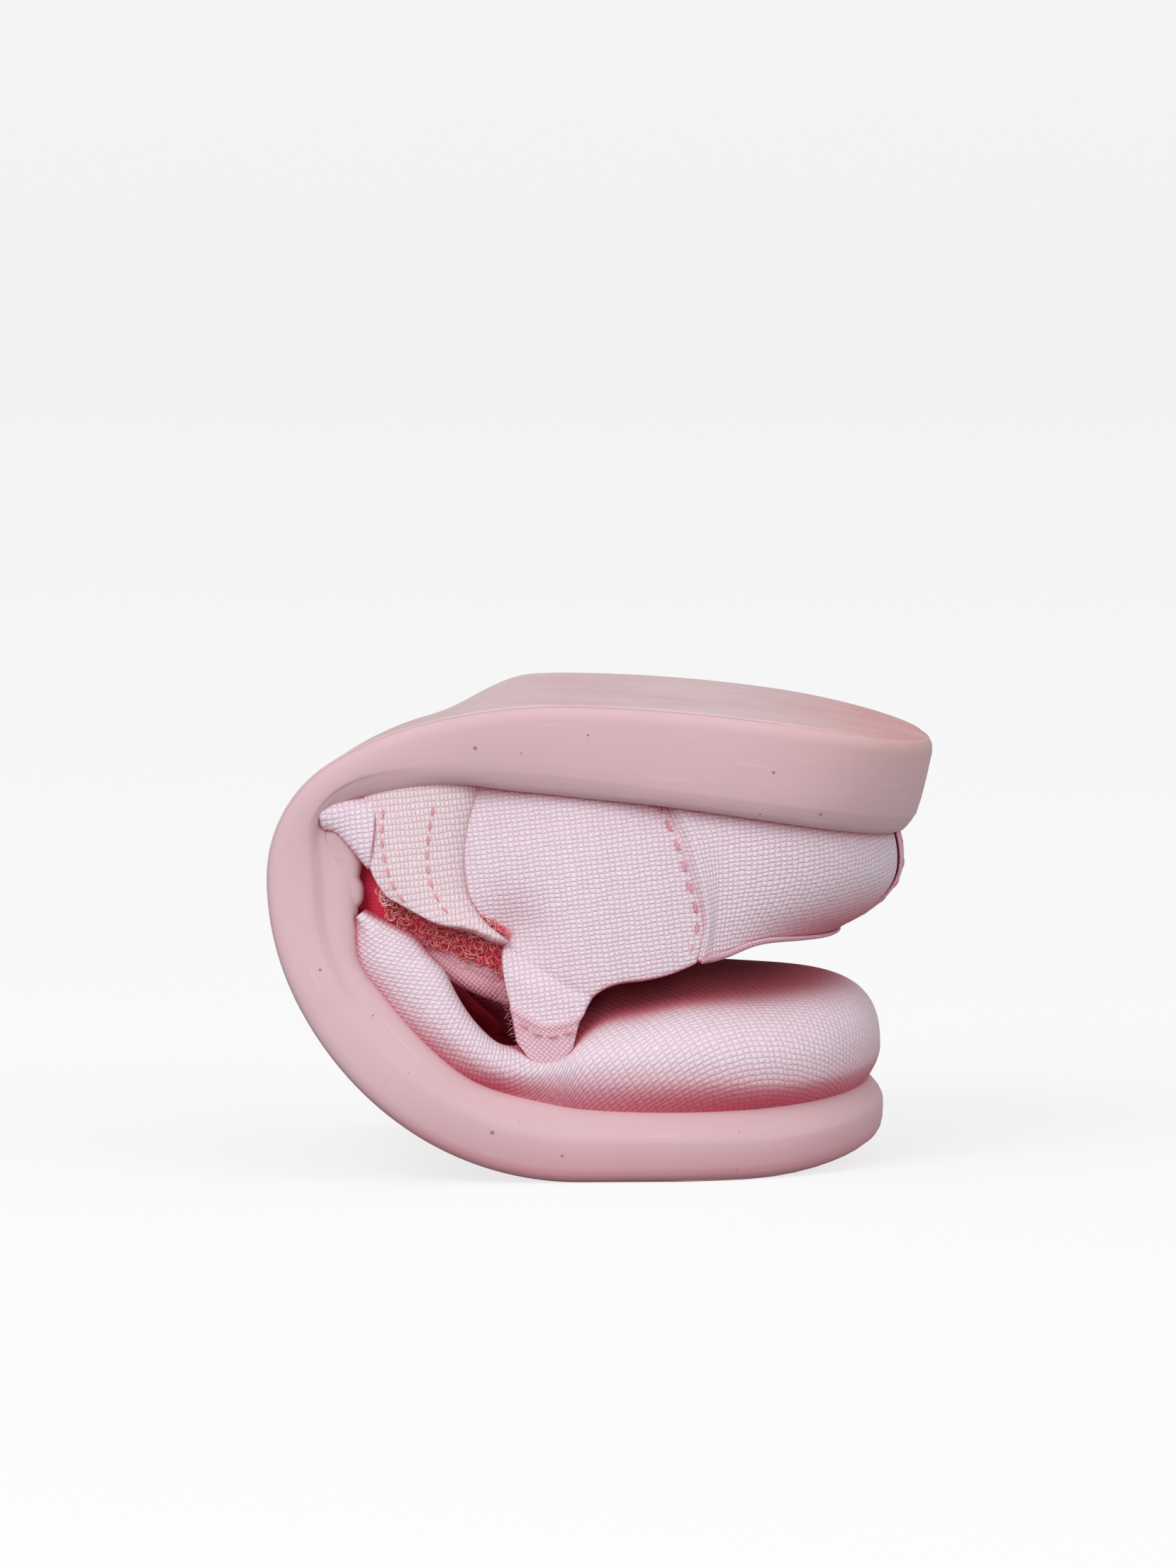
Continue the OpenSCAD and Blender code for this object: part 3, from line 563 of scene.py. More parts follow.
groups = {"weave": weaveGroup(), "rubber": rubberGroup()}
# the deep colours in these looks are painted shade for hollows between folds
canvasLook = {
    "yarn": srgb(228, 212, 222), "gapShade": srgb(221, 198, 210),
    "shade": srgb(222, 201, 213), "paintedShade": srgb(200, 58, 84),
    "warp": 0.66, "weft": 0.52, "wobble": 0.35, "rib": 1.0, "uneven": 0.05, "cloud": 0.35, "hollow": 1.0,
    "bump": 0.8, "depth": 0.16, "sheen": 0.15}
finishes = {
    "canvas": wovenMaterial("canvas", {**canvasLook, "turn": 24}),
    "quarterCanvas": wovenMaterial("quarterCanvas", {**canvasLook, "turn": -7, "warp": 0.56, "weft": 0.45}),
    "lining": wovenMaterial("lining", {
        "yarn": srgb(222, 92, 112), "gapShade": srgb(196, 60, 84),
        "shade": srgb(214, 82, 100), "paintedShade": srgb(236, 62, 92),
        "warp": 0.4, "weft": 0.36, "turn": 3, "wobble": 0.2,
        "rib": 0.9, "uneven": 0.12, "cloud": 0.5, "hollow": 1.0,
        "bump": 0.6, "depth": 0.1, "sheen": 0.15}),
    "webbing": wovenMaterial("webbing", {
        "yarn": srgb(227, 207, 213), "gapShade": srgb(219, 193, 200),
        "shade": srgb(222, 200, 206), "paintedShade": srgb(200, 58, 84),
        "warp": 0.4, "weft": 0.62, "turn": -6, "wobble": 0.3,
        "rib": 1.0, "uneven": 0.06, "cloud": 0.3, "hollow": 0.8,
        "bump": 0.8, "depth": 0.15, "sheen": 0.2}),
    "tape": wovenMaterial("tape", {
        "yarn": srgb(226, 190, 202), "gapShade": srgb(214, 168, 184),
        "shade": srgb(228, 190, 204), "paintedShade": srgb(210, 80, 106),
        "warp": 0.38, "weft": 0.34, "turn": 38, "wobble": 0.1,
        "rib": 1.0, "uneven": 0.05, "cloud": 0.4, "hollow": 0.6,
        "bump": 0.8, "depth": 0.14, "sheen": 0.2}),
    "insole": wovenMaterial("insoleCloth", {
        "yarn": srgb(214, 112, 132), "gapShade": srgb(180, 70, 94),
        "shade": srgb(200, 90, 112), "paintedShade": srgb(226, 60, 88),
        "warp": 0.45, "weft": 0.4, "turn": 0, "wobble": 0.2,
        "rib": 0.9, "uneven": 0.1, "cloud": 0.4, "hollow": 1.0,
        "bump": 0.5, "depth": 0.1, "sheen": 0.1}),
    "wall": rubberMaterial("wallRubber", {
        "colour": srgb(202, 169, 176), "tint": srgb(205, 171, 177),
        "pit": srgb(132, 86, 94), "pale": srgb(220, 190, 196),
        "worn": 1.5, "wornColour": srgb(208, 168, 166), "pits": 0.17,
        "grain": 5.0, "bump": 0.35, "depth": 0.08, "rough": 0.62}),
    "ground": rubberMaterial("groundRubber", {
        "colour": srgb(213, 188, 191), "tint": srgb(208, 176, 180),
        "pit": srgb(180, 136, 142), "pale": srgb(228, 206, 208),
        "worn": 1.7, "wornColour": srgb(205, 152, 152),
        "pits": 0.3, "grain": 1.3, "bump": 1.0, "depth": 0.4, "rough": 0.7}),
    "foam": rubberMaterial("midsoleFoam", {
        "colour": srgb(204, 146, 158), "tint": srgb(198, 138, 150),
        "pit": srgb(170, 110, 122), "pale": srgb(216, 176, 184),
        "worn": 0.0, "wornColour": srgb(205, 152, 152), "pits": 1.2,
        "grain": 4.0, "bump": 0.6, "depth": 0.1, "rough": 0.85}),
    "thread": threadMaterial("sewingThread", {
        "colour": srgb(234, 158, 176), "shade": srgb(226, 142, 162),
        "pale": srgb(240, 194, 207), "ply": 2.2, "cloud": 1.0}),
    "loops": threadMaterial("loopFibres", {
        "colour": srgb(250, 168, 158), "shade": srgb(236, 126, 122),
        "pale": srgb(255, 226, 220), "ply": 1.5, "cloud": 0.8}),
    "hooks": threadMaterial("hookFibres", {
        "colour": srgb(238, 208, 216), "shade": srgb(226, 180, 192),
        "pale": srgb(250, 232, 236), "ply": 1.5, "cloud": 1.0}),
}
print("finishes ready")


def finish(piece, look):
    piece.data.materials.clear()
    piece.data.materials.append(finishes[look])
    return piece


def place(piece, look, nodes, body=None, bend=None):
    # finish, the CAD nodes that it stands for, and the body it moves with; a piece given a bend is only baked
    # in place
    finish(piece, look)
    if bend is not None:
        bendPiece(piece, bend)
    else:
        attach(piece, body)
    if nodes:
        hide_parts(*nodes)
    return piece


# ---- the sole's outline as one closed ring of columns: near side, heel, far side, toe
endSteps = 44
heelStart = soleLength - sole["heelEnd"]
vampEnd = 72.0
sideS = np.concatenate([np.arange(sole["toeEnd"], heelStart, 1.0), sole["joins"][1:5], [vampEnd, heelStart]])
sideS = np.unique(np.round(sideS, 3))
endU = -np.cos(np.linspace(0, math.pi, endSteps + 1))[1:-1]
ringS = np.concatenate([sideS, np.zeros(len(endU)), sideS[::-1], np.zeros(len(endU))])
ringU = np.concatenate([-np.ones(len(sideS)), endU, np.ones(len(sideS)), -endU])
# 0 on the sides, 1 round the toe, 2 round the heel
ringEnd = np.repeat([0, 2, 0, 1], [len(sideS), len(endU), len(sideS), len(endU)])
ringCount = len(ringS)


def ringPlace(d, cols=slice(None)):
    # s and y of the outline drawn in by d
    s, u, end = ringS[cols], ringU[cols], ringEnd[cols]
    if np.ndim(d) > 1:
        s, u, end = s[:, None], u[:, None], end[:, None]
    at = np.where(end == 1, toeS(u, d), np.where(end == 2, heelS(u, d), s))
    return at, u * (halfWidth(at) - d)


ringRef = ringPlace(0.0)[0]

wall = {
    "lip": [(0, 6.3), (9, 7.2), (19, 7.0), (27, 7.1), (35, 7.7), (46, 7.6), (52, 7.9), (60, 7.8),
            (66, 7.3), (71, 8.3), (76, 9.0), (80, 8.8), (84, 5.6), (87, 4.3), (91, 4.5), (96, 5.7),
            (103, 6.7), (109, 8.2), (116, 9.1), (124, 9.5), (142, 9.9), (152.5, 9.9)],
    "ridge": [(0, 4.2), (15, 4.6), (40, 5.0), (58, 5.0), (68, 4.7), (80, 4.6), (86, 3.3), (92, 3.2),
              (100, 5.0), (112, 7.0), (124, 8.0), (152.5, 8.2)],
    "slope": [(0, 0.9), (15, 1.3), (50, 1.5), (62, 1.3), (72, 1.0), (82, 0.9), (90, 0.5), (104, 0.35),
              (152.5, 0.4)],
    "groove": [(0, 0.0), (56, 0.02), (68, 0.35), (78, 0.5), (84, 0.35), (92, 0.0), (152.5, 0.0)],
}


def wallSection(ref):
    # inset and height of the rubber strip's section, from under its foot, over the lip and down inside
    lip, ridge = flowKeys(wall["lip"], ref), flowKeys(wall["ridge"], ref)
    slope, groove = smoothKeys(wall["slope"], ref), smoothKeys(wall["groove"], ref)
    rise = lip - ridge
    section = [
        (1.6, 0.5), (1.0, 0.16), (0.6, 0.3), (0.22, 0.78), (0.03, 1.5),
        (-0.05, mix(1.5, ridge, 0.35)), (-0.04, mix(1.5, ridge, 0.68)),
        (0.08, ridge - 0.5), (0.26, ridge - 0.1),
        (0.3 + slope * 0.12 + groove, ridge + rise * 0.12),
        (0.36 + slope * 0.3 + groove * 1.1, ridge + rise * 0.27),
        (0.45 + slope * 0.55 + groove * 0.3, ridge + rise * 0.5),
        (0.62 + slope * 0.8, ridge + rise * 0.74),
        (0.95 + slope * 0.95, lip - rise * 0.1 - 0.05),
        (1.45 + slope, lip), (2.05 + slope * 0.7, lip - 0.05), (2.7 + slope * 0.25, lip - 0.35),
        (3.02, lip - 1.1), (3.1, lip - 2.6),
    ]
    return [np.stack([np.broadcast_to(point[i], ref.shape) for point in section], -1) for i in (0, 1)]


def skinColumns(ref, k, end=soleLength + 1):
    # which columns belong to the skin that spans hinge k
    low = -1 if k == 0 else sole["joins"][k]
    high = end if k == 4 else min(sole["joins"][k + 1], end)
    return (ref >= low - tiny) & (ref <= high + tiny)


def ringRange(k):
    # columns of the pieces that span hinge k, as runs round the ring
    inside = skinColumns(ringRef, k)
    start = next(i for i in range(ringCount) if inside[i] and not inside[i - 1])
    runs, run = [], []
    for i in range(start, start + ringCount):
        if inside[i % ringCount]:
            run.append(i % ringCount)
        elif run:
            runs.append(run)
            run = []
    return runs + ([run] if run else [])


ringLength = walked(spot(*ringPlace(0.0), 5.0))


def cutRing(name, points, normals, uvs, runs):
    # closed lengths of the ring: each section is a loop, and both ends are capped
    verts, faces, sides, flat = [], [], [], []
    cols = points.shape[1]
    for run in runs:
        first = sum(len(v) for v in verts)
        faces += gridFaces(len(run), cols, first=first)
        starts = [first + i * cols for i in range(len(run))]
        faces += [(a + cols - 1, a, b, b + cols - 1) for a, b in zip(starts, starts[1:])]
        faces += [tuple(range(a, a + cols)) for a in (starts[0], starts[-1])]
        verts.append(points[run].reshape(-1, 3))
        sides.append(normals[run].reshape(-1, 3))
        flat.append(uvs[run].reshape(-1, 2))
    return makeObject(name, np.concatenate(verts), faces, np.concatenate(flat), np.concatenate(sides))


insets, heights = wallSection(ringRef)
wallAt, wallY = ringPlace(insets)
wallPoints = spot(wallAt, wallY, heights)
wallNormals = unitNormals(wallPoints, wrap=True)
wallUv = flatUv(ringLength[:, None], alongRows(wallPoints))
# the fifth skin stands for both the shank's zone and the heel's
skinZones = [["toe"], ["ball"], ["arch"], ["waist"], ["shank", "heel"]]
for k in range(5):
    skin = cutRing(f"wall_{bodies[k]}_to_{bodies[k + 1]}", wallPoints, wallNormals, wallUv, ringRange(k))
    place(skin, "wall", ["sidewall_" + zone for zone in skinZones[k]], bend=k)
print("rubber wall ready")


# ---- flat layers under the foot: the ground sheet, the midsole and the insole
acrossU = np.sin(np.linspace(-1, 1, 29) * math.pi / 2)


def layerSkin(name, k, inset, low, high, edge):
    if k == 0:
        v = np.linspace(0, 1, 34)[:, None]
        s = mix(sole["joins"][1], toeS(acrossU, inset)[None], 1 - (1 - v) ** 1.3)
    elif k == 4:
        v = np.linspace(0, 1, 44)[:, None]
        s = mix(sole["joins"][4], heelS(acrossU, inset)[None], 1 - (1 - v) ** 1.3)
    else:
        s = np.linspace(sole["joins"][k], sole["joins"][k + 1], 16)[:, None] + 0 * acrossU
    y = acrossU * (halfWidth(s) - inset)
    rim = np.abs(acrossU) > 0.985
    lift = np.broadcast_to(np.where(rim, edge, 0.0), s.shape).copy()
    if k in (0, 4):
        lift[-1] = edge
    bottom, top = spot(s, y, low + lift), spot(s, y, high - lift)
    rows, cols = s.shape
    uv = np.stack([s, y], -1).reshape(-1, 2)
    faces = gridFaces(rows, cols) + gridFaces(rows, cols, first=rows * cols)
    m = rows * cols
    ids = rimLoop(rows, cols)
    faces += [(a, b, b + m, a + m) for a, b in zip(ids, ids[1:] + ids[:1])]
    normal = unitNormals(bottom).reshape(-1, 3)
    both = np.concatenate([normal, normal])
    verts = np.concatenate([bottom.reshape(-1, 3), top.reshape(-1, 3)])
    return makeObject(name, verts, faces, np.concatenate([uv, uv]), both)


# name, finish, slot, CAD name, inset, bottom, top and softness of the edge
layers = [
    ("ground", "ground", "outsole_rubber", "outsole_", 0.85, 0.0, 1.2, 0.3),
    ("insole", "insole", "insole_fabric", "insole_", 5.4, 4.2, 5.75, 0.3),
    ("midsole", "foam", "midsole_foam", "midsole_", 2.6, 1.1, 4.25, 0.05),
]
for k in range(5):
    for name, look, slot, node, *sizes in layers:
        skin = layerSkin(f"{name}_{bodies[k]}_to_{bodies[k + 1]}", k, *sizes)
        place(skin, look, [node + zone for zone in skinZones[k]], bend=k)
print("ground sheet, midsole and insole ready")


# ---- vamp: one cloth from the bend, along the arch and over the toes
vamp = {
    "thick": 0.9, "end": vampEnd, "front": 17.0, "throat": 34.0,
    "top": [(30, 12.0), (38, 11.3), (44.8, 11.3), (48.5, 11.8), (54.7, 12.9),
            (58, 13.4), (61.4, 13.1), (66.6, 12.3), (69.5, 10.8), (72, 8.9)],
    "crownLine": [(0, 18.6), (20, 18.6), (27, 17.6), (34, 15.2), (48, 14.5)],
}
vampCols = [i for i in range(ringCount) if ringRef[i] <= vamp["end"] + tiny]
startCol = next(n for n, i in enumerate(vampCols) if vampCols[n - 1] != (i - 1) % ringCount and ringU[i] > 0)
vampCols = vampCols[startCol:] + vampCols[:startCol]


def vampSurface(cols, rows, inside=0.0, drop=0.0):
    # inside draws the cloth in by that much, for the lining under it
    ref = ringRef[cols][:, None]
    t = np.linspace(0, 1, rows)[None, :]
    lip = flowKeys(wall["lip"], ref)
    high = flowKeys(vamp["top"], ref) - drop
    # along the arch the cloth stands up and rolls over at its edge
    rollT = [0, 0.13, 0.26, 0.38, 0.5, 0.62, 0.73, 0.86, 1]
    rollIn = [3.5, 3.2, 2.3, 1.85, 1.95, 2.7, 4.0, 5.6, 6.6]
    rollUp = [lip - 2.2, lip - 0.45] + [mix(lip, high, part) for part in (0.2, 0.45, 0.72, 0.93)]
    rollUp += [high, high - 0.9, high - 3.4]
    rollIn = flowKeys(list(zip(rollT, rollIn)), t) + inside
    keyed = np.stack([np.broadcast_to(v, ref.shape)[:, 0] for v in rollUp], -1)
    rollH = np.stack([flowKeys(list(zip(rollT, row)), t[0]) for row in keyed])
    rollS, rollY = ringPlace(np.broadcast_to(rollIn, rollH.shape), cols)
    # over the toes it closes in a full dome
    wallT = 0.26
    bellyIn = mix(2.1, 0.75, ease((38 - ref) / 26)) + inside
    bellyH = mix(10.4, 8.8, ease((20 - ref) / 20))
    low = np.clip(t / wallT, 0, 1)
    turn = np.clip((t - wallT) / (1 - wallT), 0, 1) * math.pi / 2
    wallIn = mix(3.5 + inside, bellyIn, np.sin(low * math.pi / 2) ** 1.6)
    wallH = mix(lip - 2.2, bellyH, low)
    edgeS, edgeY = ringPlace(wallIn, cols)
    draw = 1 - np.cos(turn) ** 0.8
    spine = mix(vamp["front"], vamp["throat"], ease(ref / 46) ** 1.3)
    s, y = mix(edgeS, spine, draw), mix(edgeY, 0, draw)
    crown = smoothKeys(vamp["crownLine"], s) - drop
    h = mix(wallH, crown, np.sin(turn) ** 0.8)
    full = ease((44.5 - ref) / 15)
    rolled, domed = spot(rollS, rollY, rollH), spot(s, y, h)
    points = mix(rolled, domed, full[..., None])
    # flat coordinates: back from the spine or the rolled edge, square to the outline
    length = alongRows(points)
    whole = length[:, -1:]
    edge = np.stack([edgeS[:, :1], edgeY[:, :1]], -1)
    out = np.concatenate([spine[..., None] - edge[..., :1], -edge[..., 1:]], -1)
    out /= np.linalg.norm(out, axis=-1, keepdims=True)
    square = np.stack([0 * ref, -np.sign(edgeY[:, :1])], -1)
    full = ease((52 - ref) / 42)
    end = mix(edge + square * whole[..., None], np.stack([spine, 0 * spine], -1), full[..., None])
    out = mix(square, out, full[..., None])
    return points, end - out * (whole - length)[..., None]


def splitCloth(name, surface, cols, thick, look, nodesFor):
    # the cloth is cut where the sole's skins are cut, one piece for each hinge's span
    points, uvs = surface
    ref = ringRef[cols]
    for k in range(3):
        inside = skinColumns(ref, k, vamp["end"])
        changes = np.where(np.diff(inside.astype(int)) != 0)[0] + 1
        runs = [list(group) for group in np.split(np.arange(len(ref)), changes) if inside[group[0]]]
        patches = [(points[run], uvs[run]) for run in runs]
        piece = thickCloth(f"{name}_{bodies[k]}_to_{bodies[k + 1]}", patches, thick, points, runs)
        place(piece, look, nodesFor[k], bend=k)


def thickCloth(name, patches, thick, whole, runs):
    # both faces of the cloth and its rim, with the whole cloth's normals so that cut edges match
    n = unitNormals(whole)
    verts, faces, uvs, normals = [], [], [], []
    count = 0
    for (points, uv), run in zip(patches, runs):
        rows, cols = points.shape[:2]
        side = n[run]
        outer, inner = points + side * thick / 2, points - side * thick / 2
        m = rows * cols
        faces += gridFaces(rows, cols, first=count) + gridFaces(rows, cols, first=count + m)
        ids = [count + i for i in rimLoop(rows, cols)]
        faces += [(b, a, a + m, b + m) for a, b in zip(ids, ids[1:] + ids[:1])]
        verts += [outer.reshape(-1, 3), inner.reshape(-1, 3)]
        uvs += [uv.reshape(-1, 2)] * 2
        normals += [side.reshape(-1, 3)] * 2
        count += 2 * m
    return makeObject(name, np.concatenate(verts), faces, np.concatenate(uvs), np.concatenate(normals))


splitCloth("vamp", vampSurface(vampCols, 46), vampCols, vamp["thick"], "canvas",
           [["vamp"], ["side_canvas_ball"], ["side_canvas_arch"]])
splitCloth("vampLining", vampSurface(vampCols, 30, inside=1.0, drop=1.1), vampCols, 0.5, "lining",
           [["vamp_lining"], ["side_lining_ball"], ["side_lining_arch"]])
print("vamp ready")


# ---- upper of the heel half
upper = {
    "thick": 0.9, "inset": 3.6, "farLean": 0.5,
    "lean": [(90, 0.2), (118, 0.22), (140, 0.02), (152.5, 0)],
    "front": [(104.2, 5.4), (103.7, 8), (101.6, 10.6), (99.7, 13), (98.4, 15.3), (98.9, 18.0),
              (100.6, 19.8), (103.2, 21.3), (105.0, 22.8)],
    "root": [(105.0, 22.8), (108, 24.6), (112, 26.2), (116, 27.6), (119.0, 28.6)],
    "edge": [(119.0, 28.6), (120.0, 27.9), (122, 27.2), (124.8, 26.8), (127.9, 26), (130.9, 24.7)],
    "seam": [(125.3, 5.4), (126, 9.1), (128.1, 12.4), (130, 16.4), (131.6, 20.8), (130.9, 24.7)],
}
# the strap: the near quarter's tongue, and the tape tab on its tip
strap = {
    "left": [(104.3, 24.8), (104.2, 27.0), (104.6, 29.3)],
    "right": [(118.3, 29.7), (118.0, 30.3), (117.4, 30.9)],
    "border": [(104.6, 29.3), (107.0, 30.5), (111.0, 31.6), (115.0, 31.5), (117.4, 30.9)],
    "tip": [(105.3, 32.4), (107.0, 34.6), (110.2, 35.9), (113.5, 35.3), (116.5, 33.4)],
}


def lipAt(s):
    return flowKeys(wall["lip"], s)


def upperPoint(side, s, h):
    # a point in the middle of the cloth on the heel half's side
    slope = smoothKeys(upper["lean"], s) * (1.0 if side < 0 else upper["farLean"])
    y = side * (halfWidth(s) - upper["inset"] + slope * np.maximum(0, h - lipAt(s)))
    return spot(s, y, h)


def edgeLine(side, keys):
    k = np.array(keys, float)
    return upperPoint(side, k[:, 0], k[:, 1])


def clothUv(points):
    return points[..., [0, 2]]


def puff(points, side, amount):
    # the cloth stands a little full between its edges
    rows, cols = points.shape[:2]
    u, v = [np.sin(np.linspace(0, math.pi, count)) ** 0.8 for count in (cols, rows)]
    out = points.copy()
    out[..., 1] += side * amount * u[None, :] * v[:, None]
    return out


def sideCloth(side):
    (seatStart, seatHeight), (seatEnd, _) = upper["front"][0], upper["seam"][0]
    seat = [(mix(seatStart, seatEnd, t), seatHeight) for t in np.linspace(0, 1, 8)]
    root, edge = edgeLine(side, upper["root"]), edgeLine(side, upper["edge"])
    rootCols, edgeCols = 20, 18
    bodyCols = rootCols + edgeCols - 1
    backLine = np.concatenate([evenLine(root, rootCols), evenLine(edge, edgeCols)[1:]])
    seatLine = evenLine(edgeLine(side, seat), bodyCols)
    front, seam = edgeLine(side, upper["front"]), edgeLine(side, upper["seam"])
    body = coons(seatLine, backLine, front, seam, 34, bodyCols)
    body = puff(body, side, 0.9)
    dent = np.exp(-((body[..., 0] + 8.5) / 3.2) ** 2 - ((body[..., 2] - 24.5) / 3.4) ** 2)
    body[..., 1] -= side * 1.3 * dent
    return body, rootCols


def quarter(side):
    body, rootCols = sideCloth(side)
    patches = [(body, clothUv(body))]
    if side < 0:
        root = body[-1, :rootCols]
        left = np.concatenate([root[:1], edgeLine(side, strap["left"])])
        right = np.concatenate([root[-1:], edgeLine(side, strap["right"])])
        tongue = coons(root, edgeLine(side, strap["border"]), left, right, 20, rootCols)
        crown = 0.5 * np.sin(np.linspace(0, math.pi, rootCols)) ** 0.8
        tongue[..., 1] += side * crown * np.linspace(0, 1, 20)[:, None]
        patches.append((tongue, clothUv(tongue)))
    return cloth("quarterNear" if side < 0 else "quarterFar", patches, upper["thick"], weld=0.05)


# the near quarter's cloth runs on into the strap
nearQuarter = finish(quarter(-1), "quarterCanvas")
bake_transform(nearQuarter)
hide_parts("quarter_near", "strap")
place(quarter(1), "quarterCanvas", ["quarter_far"], body="heel")
print("quarters ready")


# ---- tab: fine tape folded over the strap's tip
def lineUp(points, side, off):
    out = np.array(points, float)
    out[..., 1] += side * off
    return out


def buildTab():
    border = evenLine(edgeLine(-1, strap["border"]), 18)
    left = np.concatenate([border[:1], edgeLine(-1, strap["tip"])[:1]])
    right = np.concatenate([border[-1:], edgeLine(-1, strap["tip"])[-1:]])
    face = coons(border, edgeLine(-1, strap["tip"]), left, right, 14, 18)
    face[..., 1] -= 0.5 * np.sin(np.linspace(0, math.pi, 18)) ** 0.7
    lap = border + np.array([0, -0.3, 0.75])
    lap[:, 1] -= 0.4 * np.sin(np.linspace(0, math.pi, 18))
    face = np.concatenate([lap[None], face])
    tab = cloth("strapTab", [(face, clothUv(face))], 1.2)
    place(tab, "tape", ["strap_tab"], body="strap")
    seam = evenLine(lineUp(border, -1, 0.55 + 0.5), 30)
    seam[:, 1] = border[:, 1].mean() - 1.15 - 0.45 * np.sin(np.linspace(0, math.pi, 30))
    seam[:, 2] -= 0.55
    thread = joined("strapTabStitches", stitchRow(seam[2:-2], (0, -1, 0), length=1.0, pitch=1.6, radius=0.11))
    place(thread, "thread", ["strap_tab_stitches"], body="strap")
    root = edgeLine(-1, upper["root"])
    patch = between(evenLine(root, 12), evenLine(border, 12), 10)
    middle = patch.mean(axis=(0, 1))
    patch = middle + np.array([1.2, 0, 0]) + (patch - middle) * np.array([0.6, 1, 0.8])
    hooks = cloth("hookPatch", [(lineUp(patch, -1, -1.3), clothUv(patch))], 0.5)
    place(hooks, "hooks", ["hook_patch"], body="strap")


buildTab()


# ---- heel panel: one ring of cloth from side seam to side seam, with its lining, binding and back tape
heel = {
    "steps": 40, "straight": 12,
    "recede": [(5.4, 0.2), (8, 0), (9.9, -1.3), (12.4, -2.4), (14, -2.6), (15.5, -2.2), (17, -1.3),
               (18.5, 0.1), (20.1, 2.2), (21.5, 4.0), (25.5, 5.0)],
    "rim": [(130.4, 24.7), (133, 24.3), (138.3, 22.1), (142, 21.3), (147, 20.5)],
}


def heelRing(rows, off, drop=0.0):
    # columns run from the near side's seam round the back to the far side's
    straight = heel["straight"]
    around = -np.cos(np.linspace(0, math.pi, heel["steps"] + 1))
    u = np.concatenate([-np.ones(straight), around, np.ones(straight)])[:, None]
    n = len(u)
    order = np.minimum(np.arange(n), n - 1 - np.arange(n))[:, None]
    along = np.minimum(order / straight, 1)
    d = upper["inset"] - off
    end = soleLength - sole["heelEnd"]
    seam = np.array(upper["seam"])
    topS = np.where(along < 1, mix(seam[-1, 0], end, along), heelS(u, d + 3))
    rim = flowKeys(heel["rim"], topS) - drop
    f = np.linspace(0, 1, rows)[None, :]
    h = mix(seam[0, 1], rim, f)
    seamS = flowKeys(list(zip(seam[:, 1], seam[:, 0])), h)
    back = flowKeys(heel["recede"], h)
    s = np.where(along < 1, mix(seamS, end, along), heelS(u, d + back))
    slope = smoothKeys(upper["lean"], s) * np.where(u < 0, 1.0, upper["farLean"])
    y = u * (halfWidth(s) - d + slope * np.maximum(0, h - lipAt(s)) + 0.8 * np.sin(f * math.pi))
    points = spot(s, y, h)
    for first, last in ((0, 1), (-1, -2)):
        points[first] += np.array([-2.0, -0.75 * np.sign(u[first, 0]), 0])
        points[last] += np.array([-0.3, -0.7 * np.sign(u[first, 0]), 0])
    length = walked(points[:, rows // 3, :2])
    return points, flatUv(length[:, None] + points[0, 0, 0], points[..., 2])


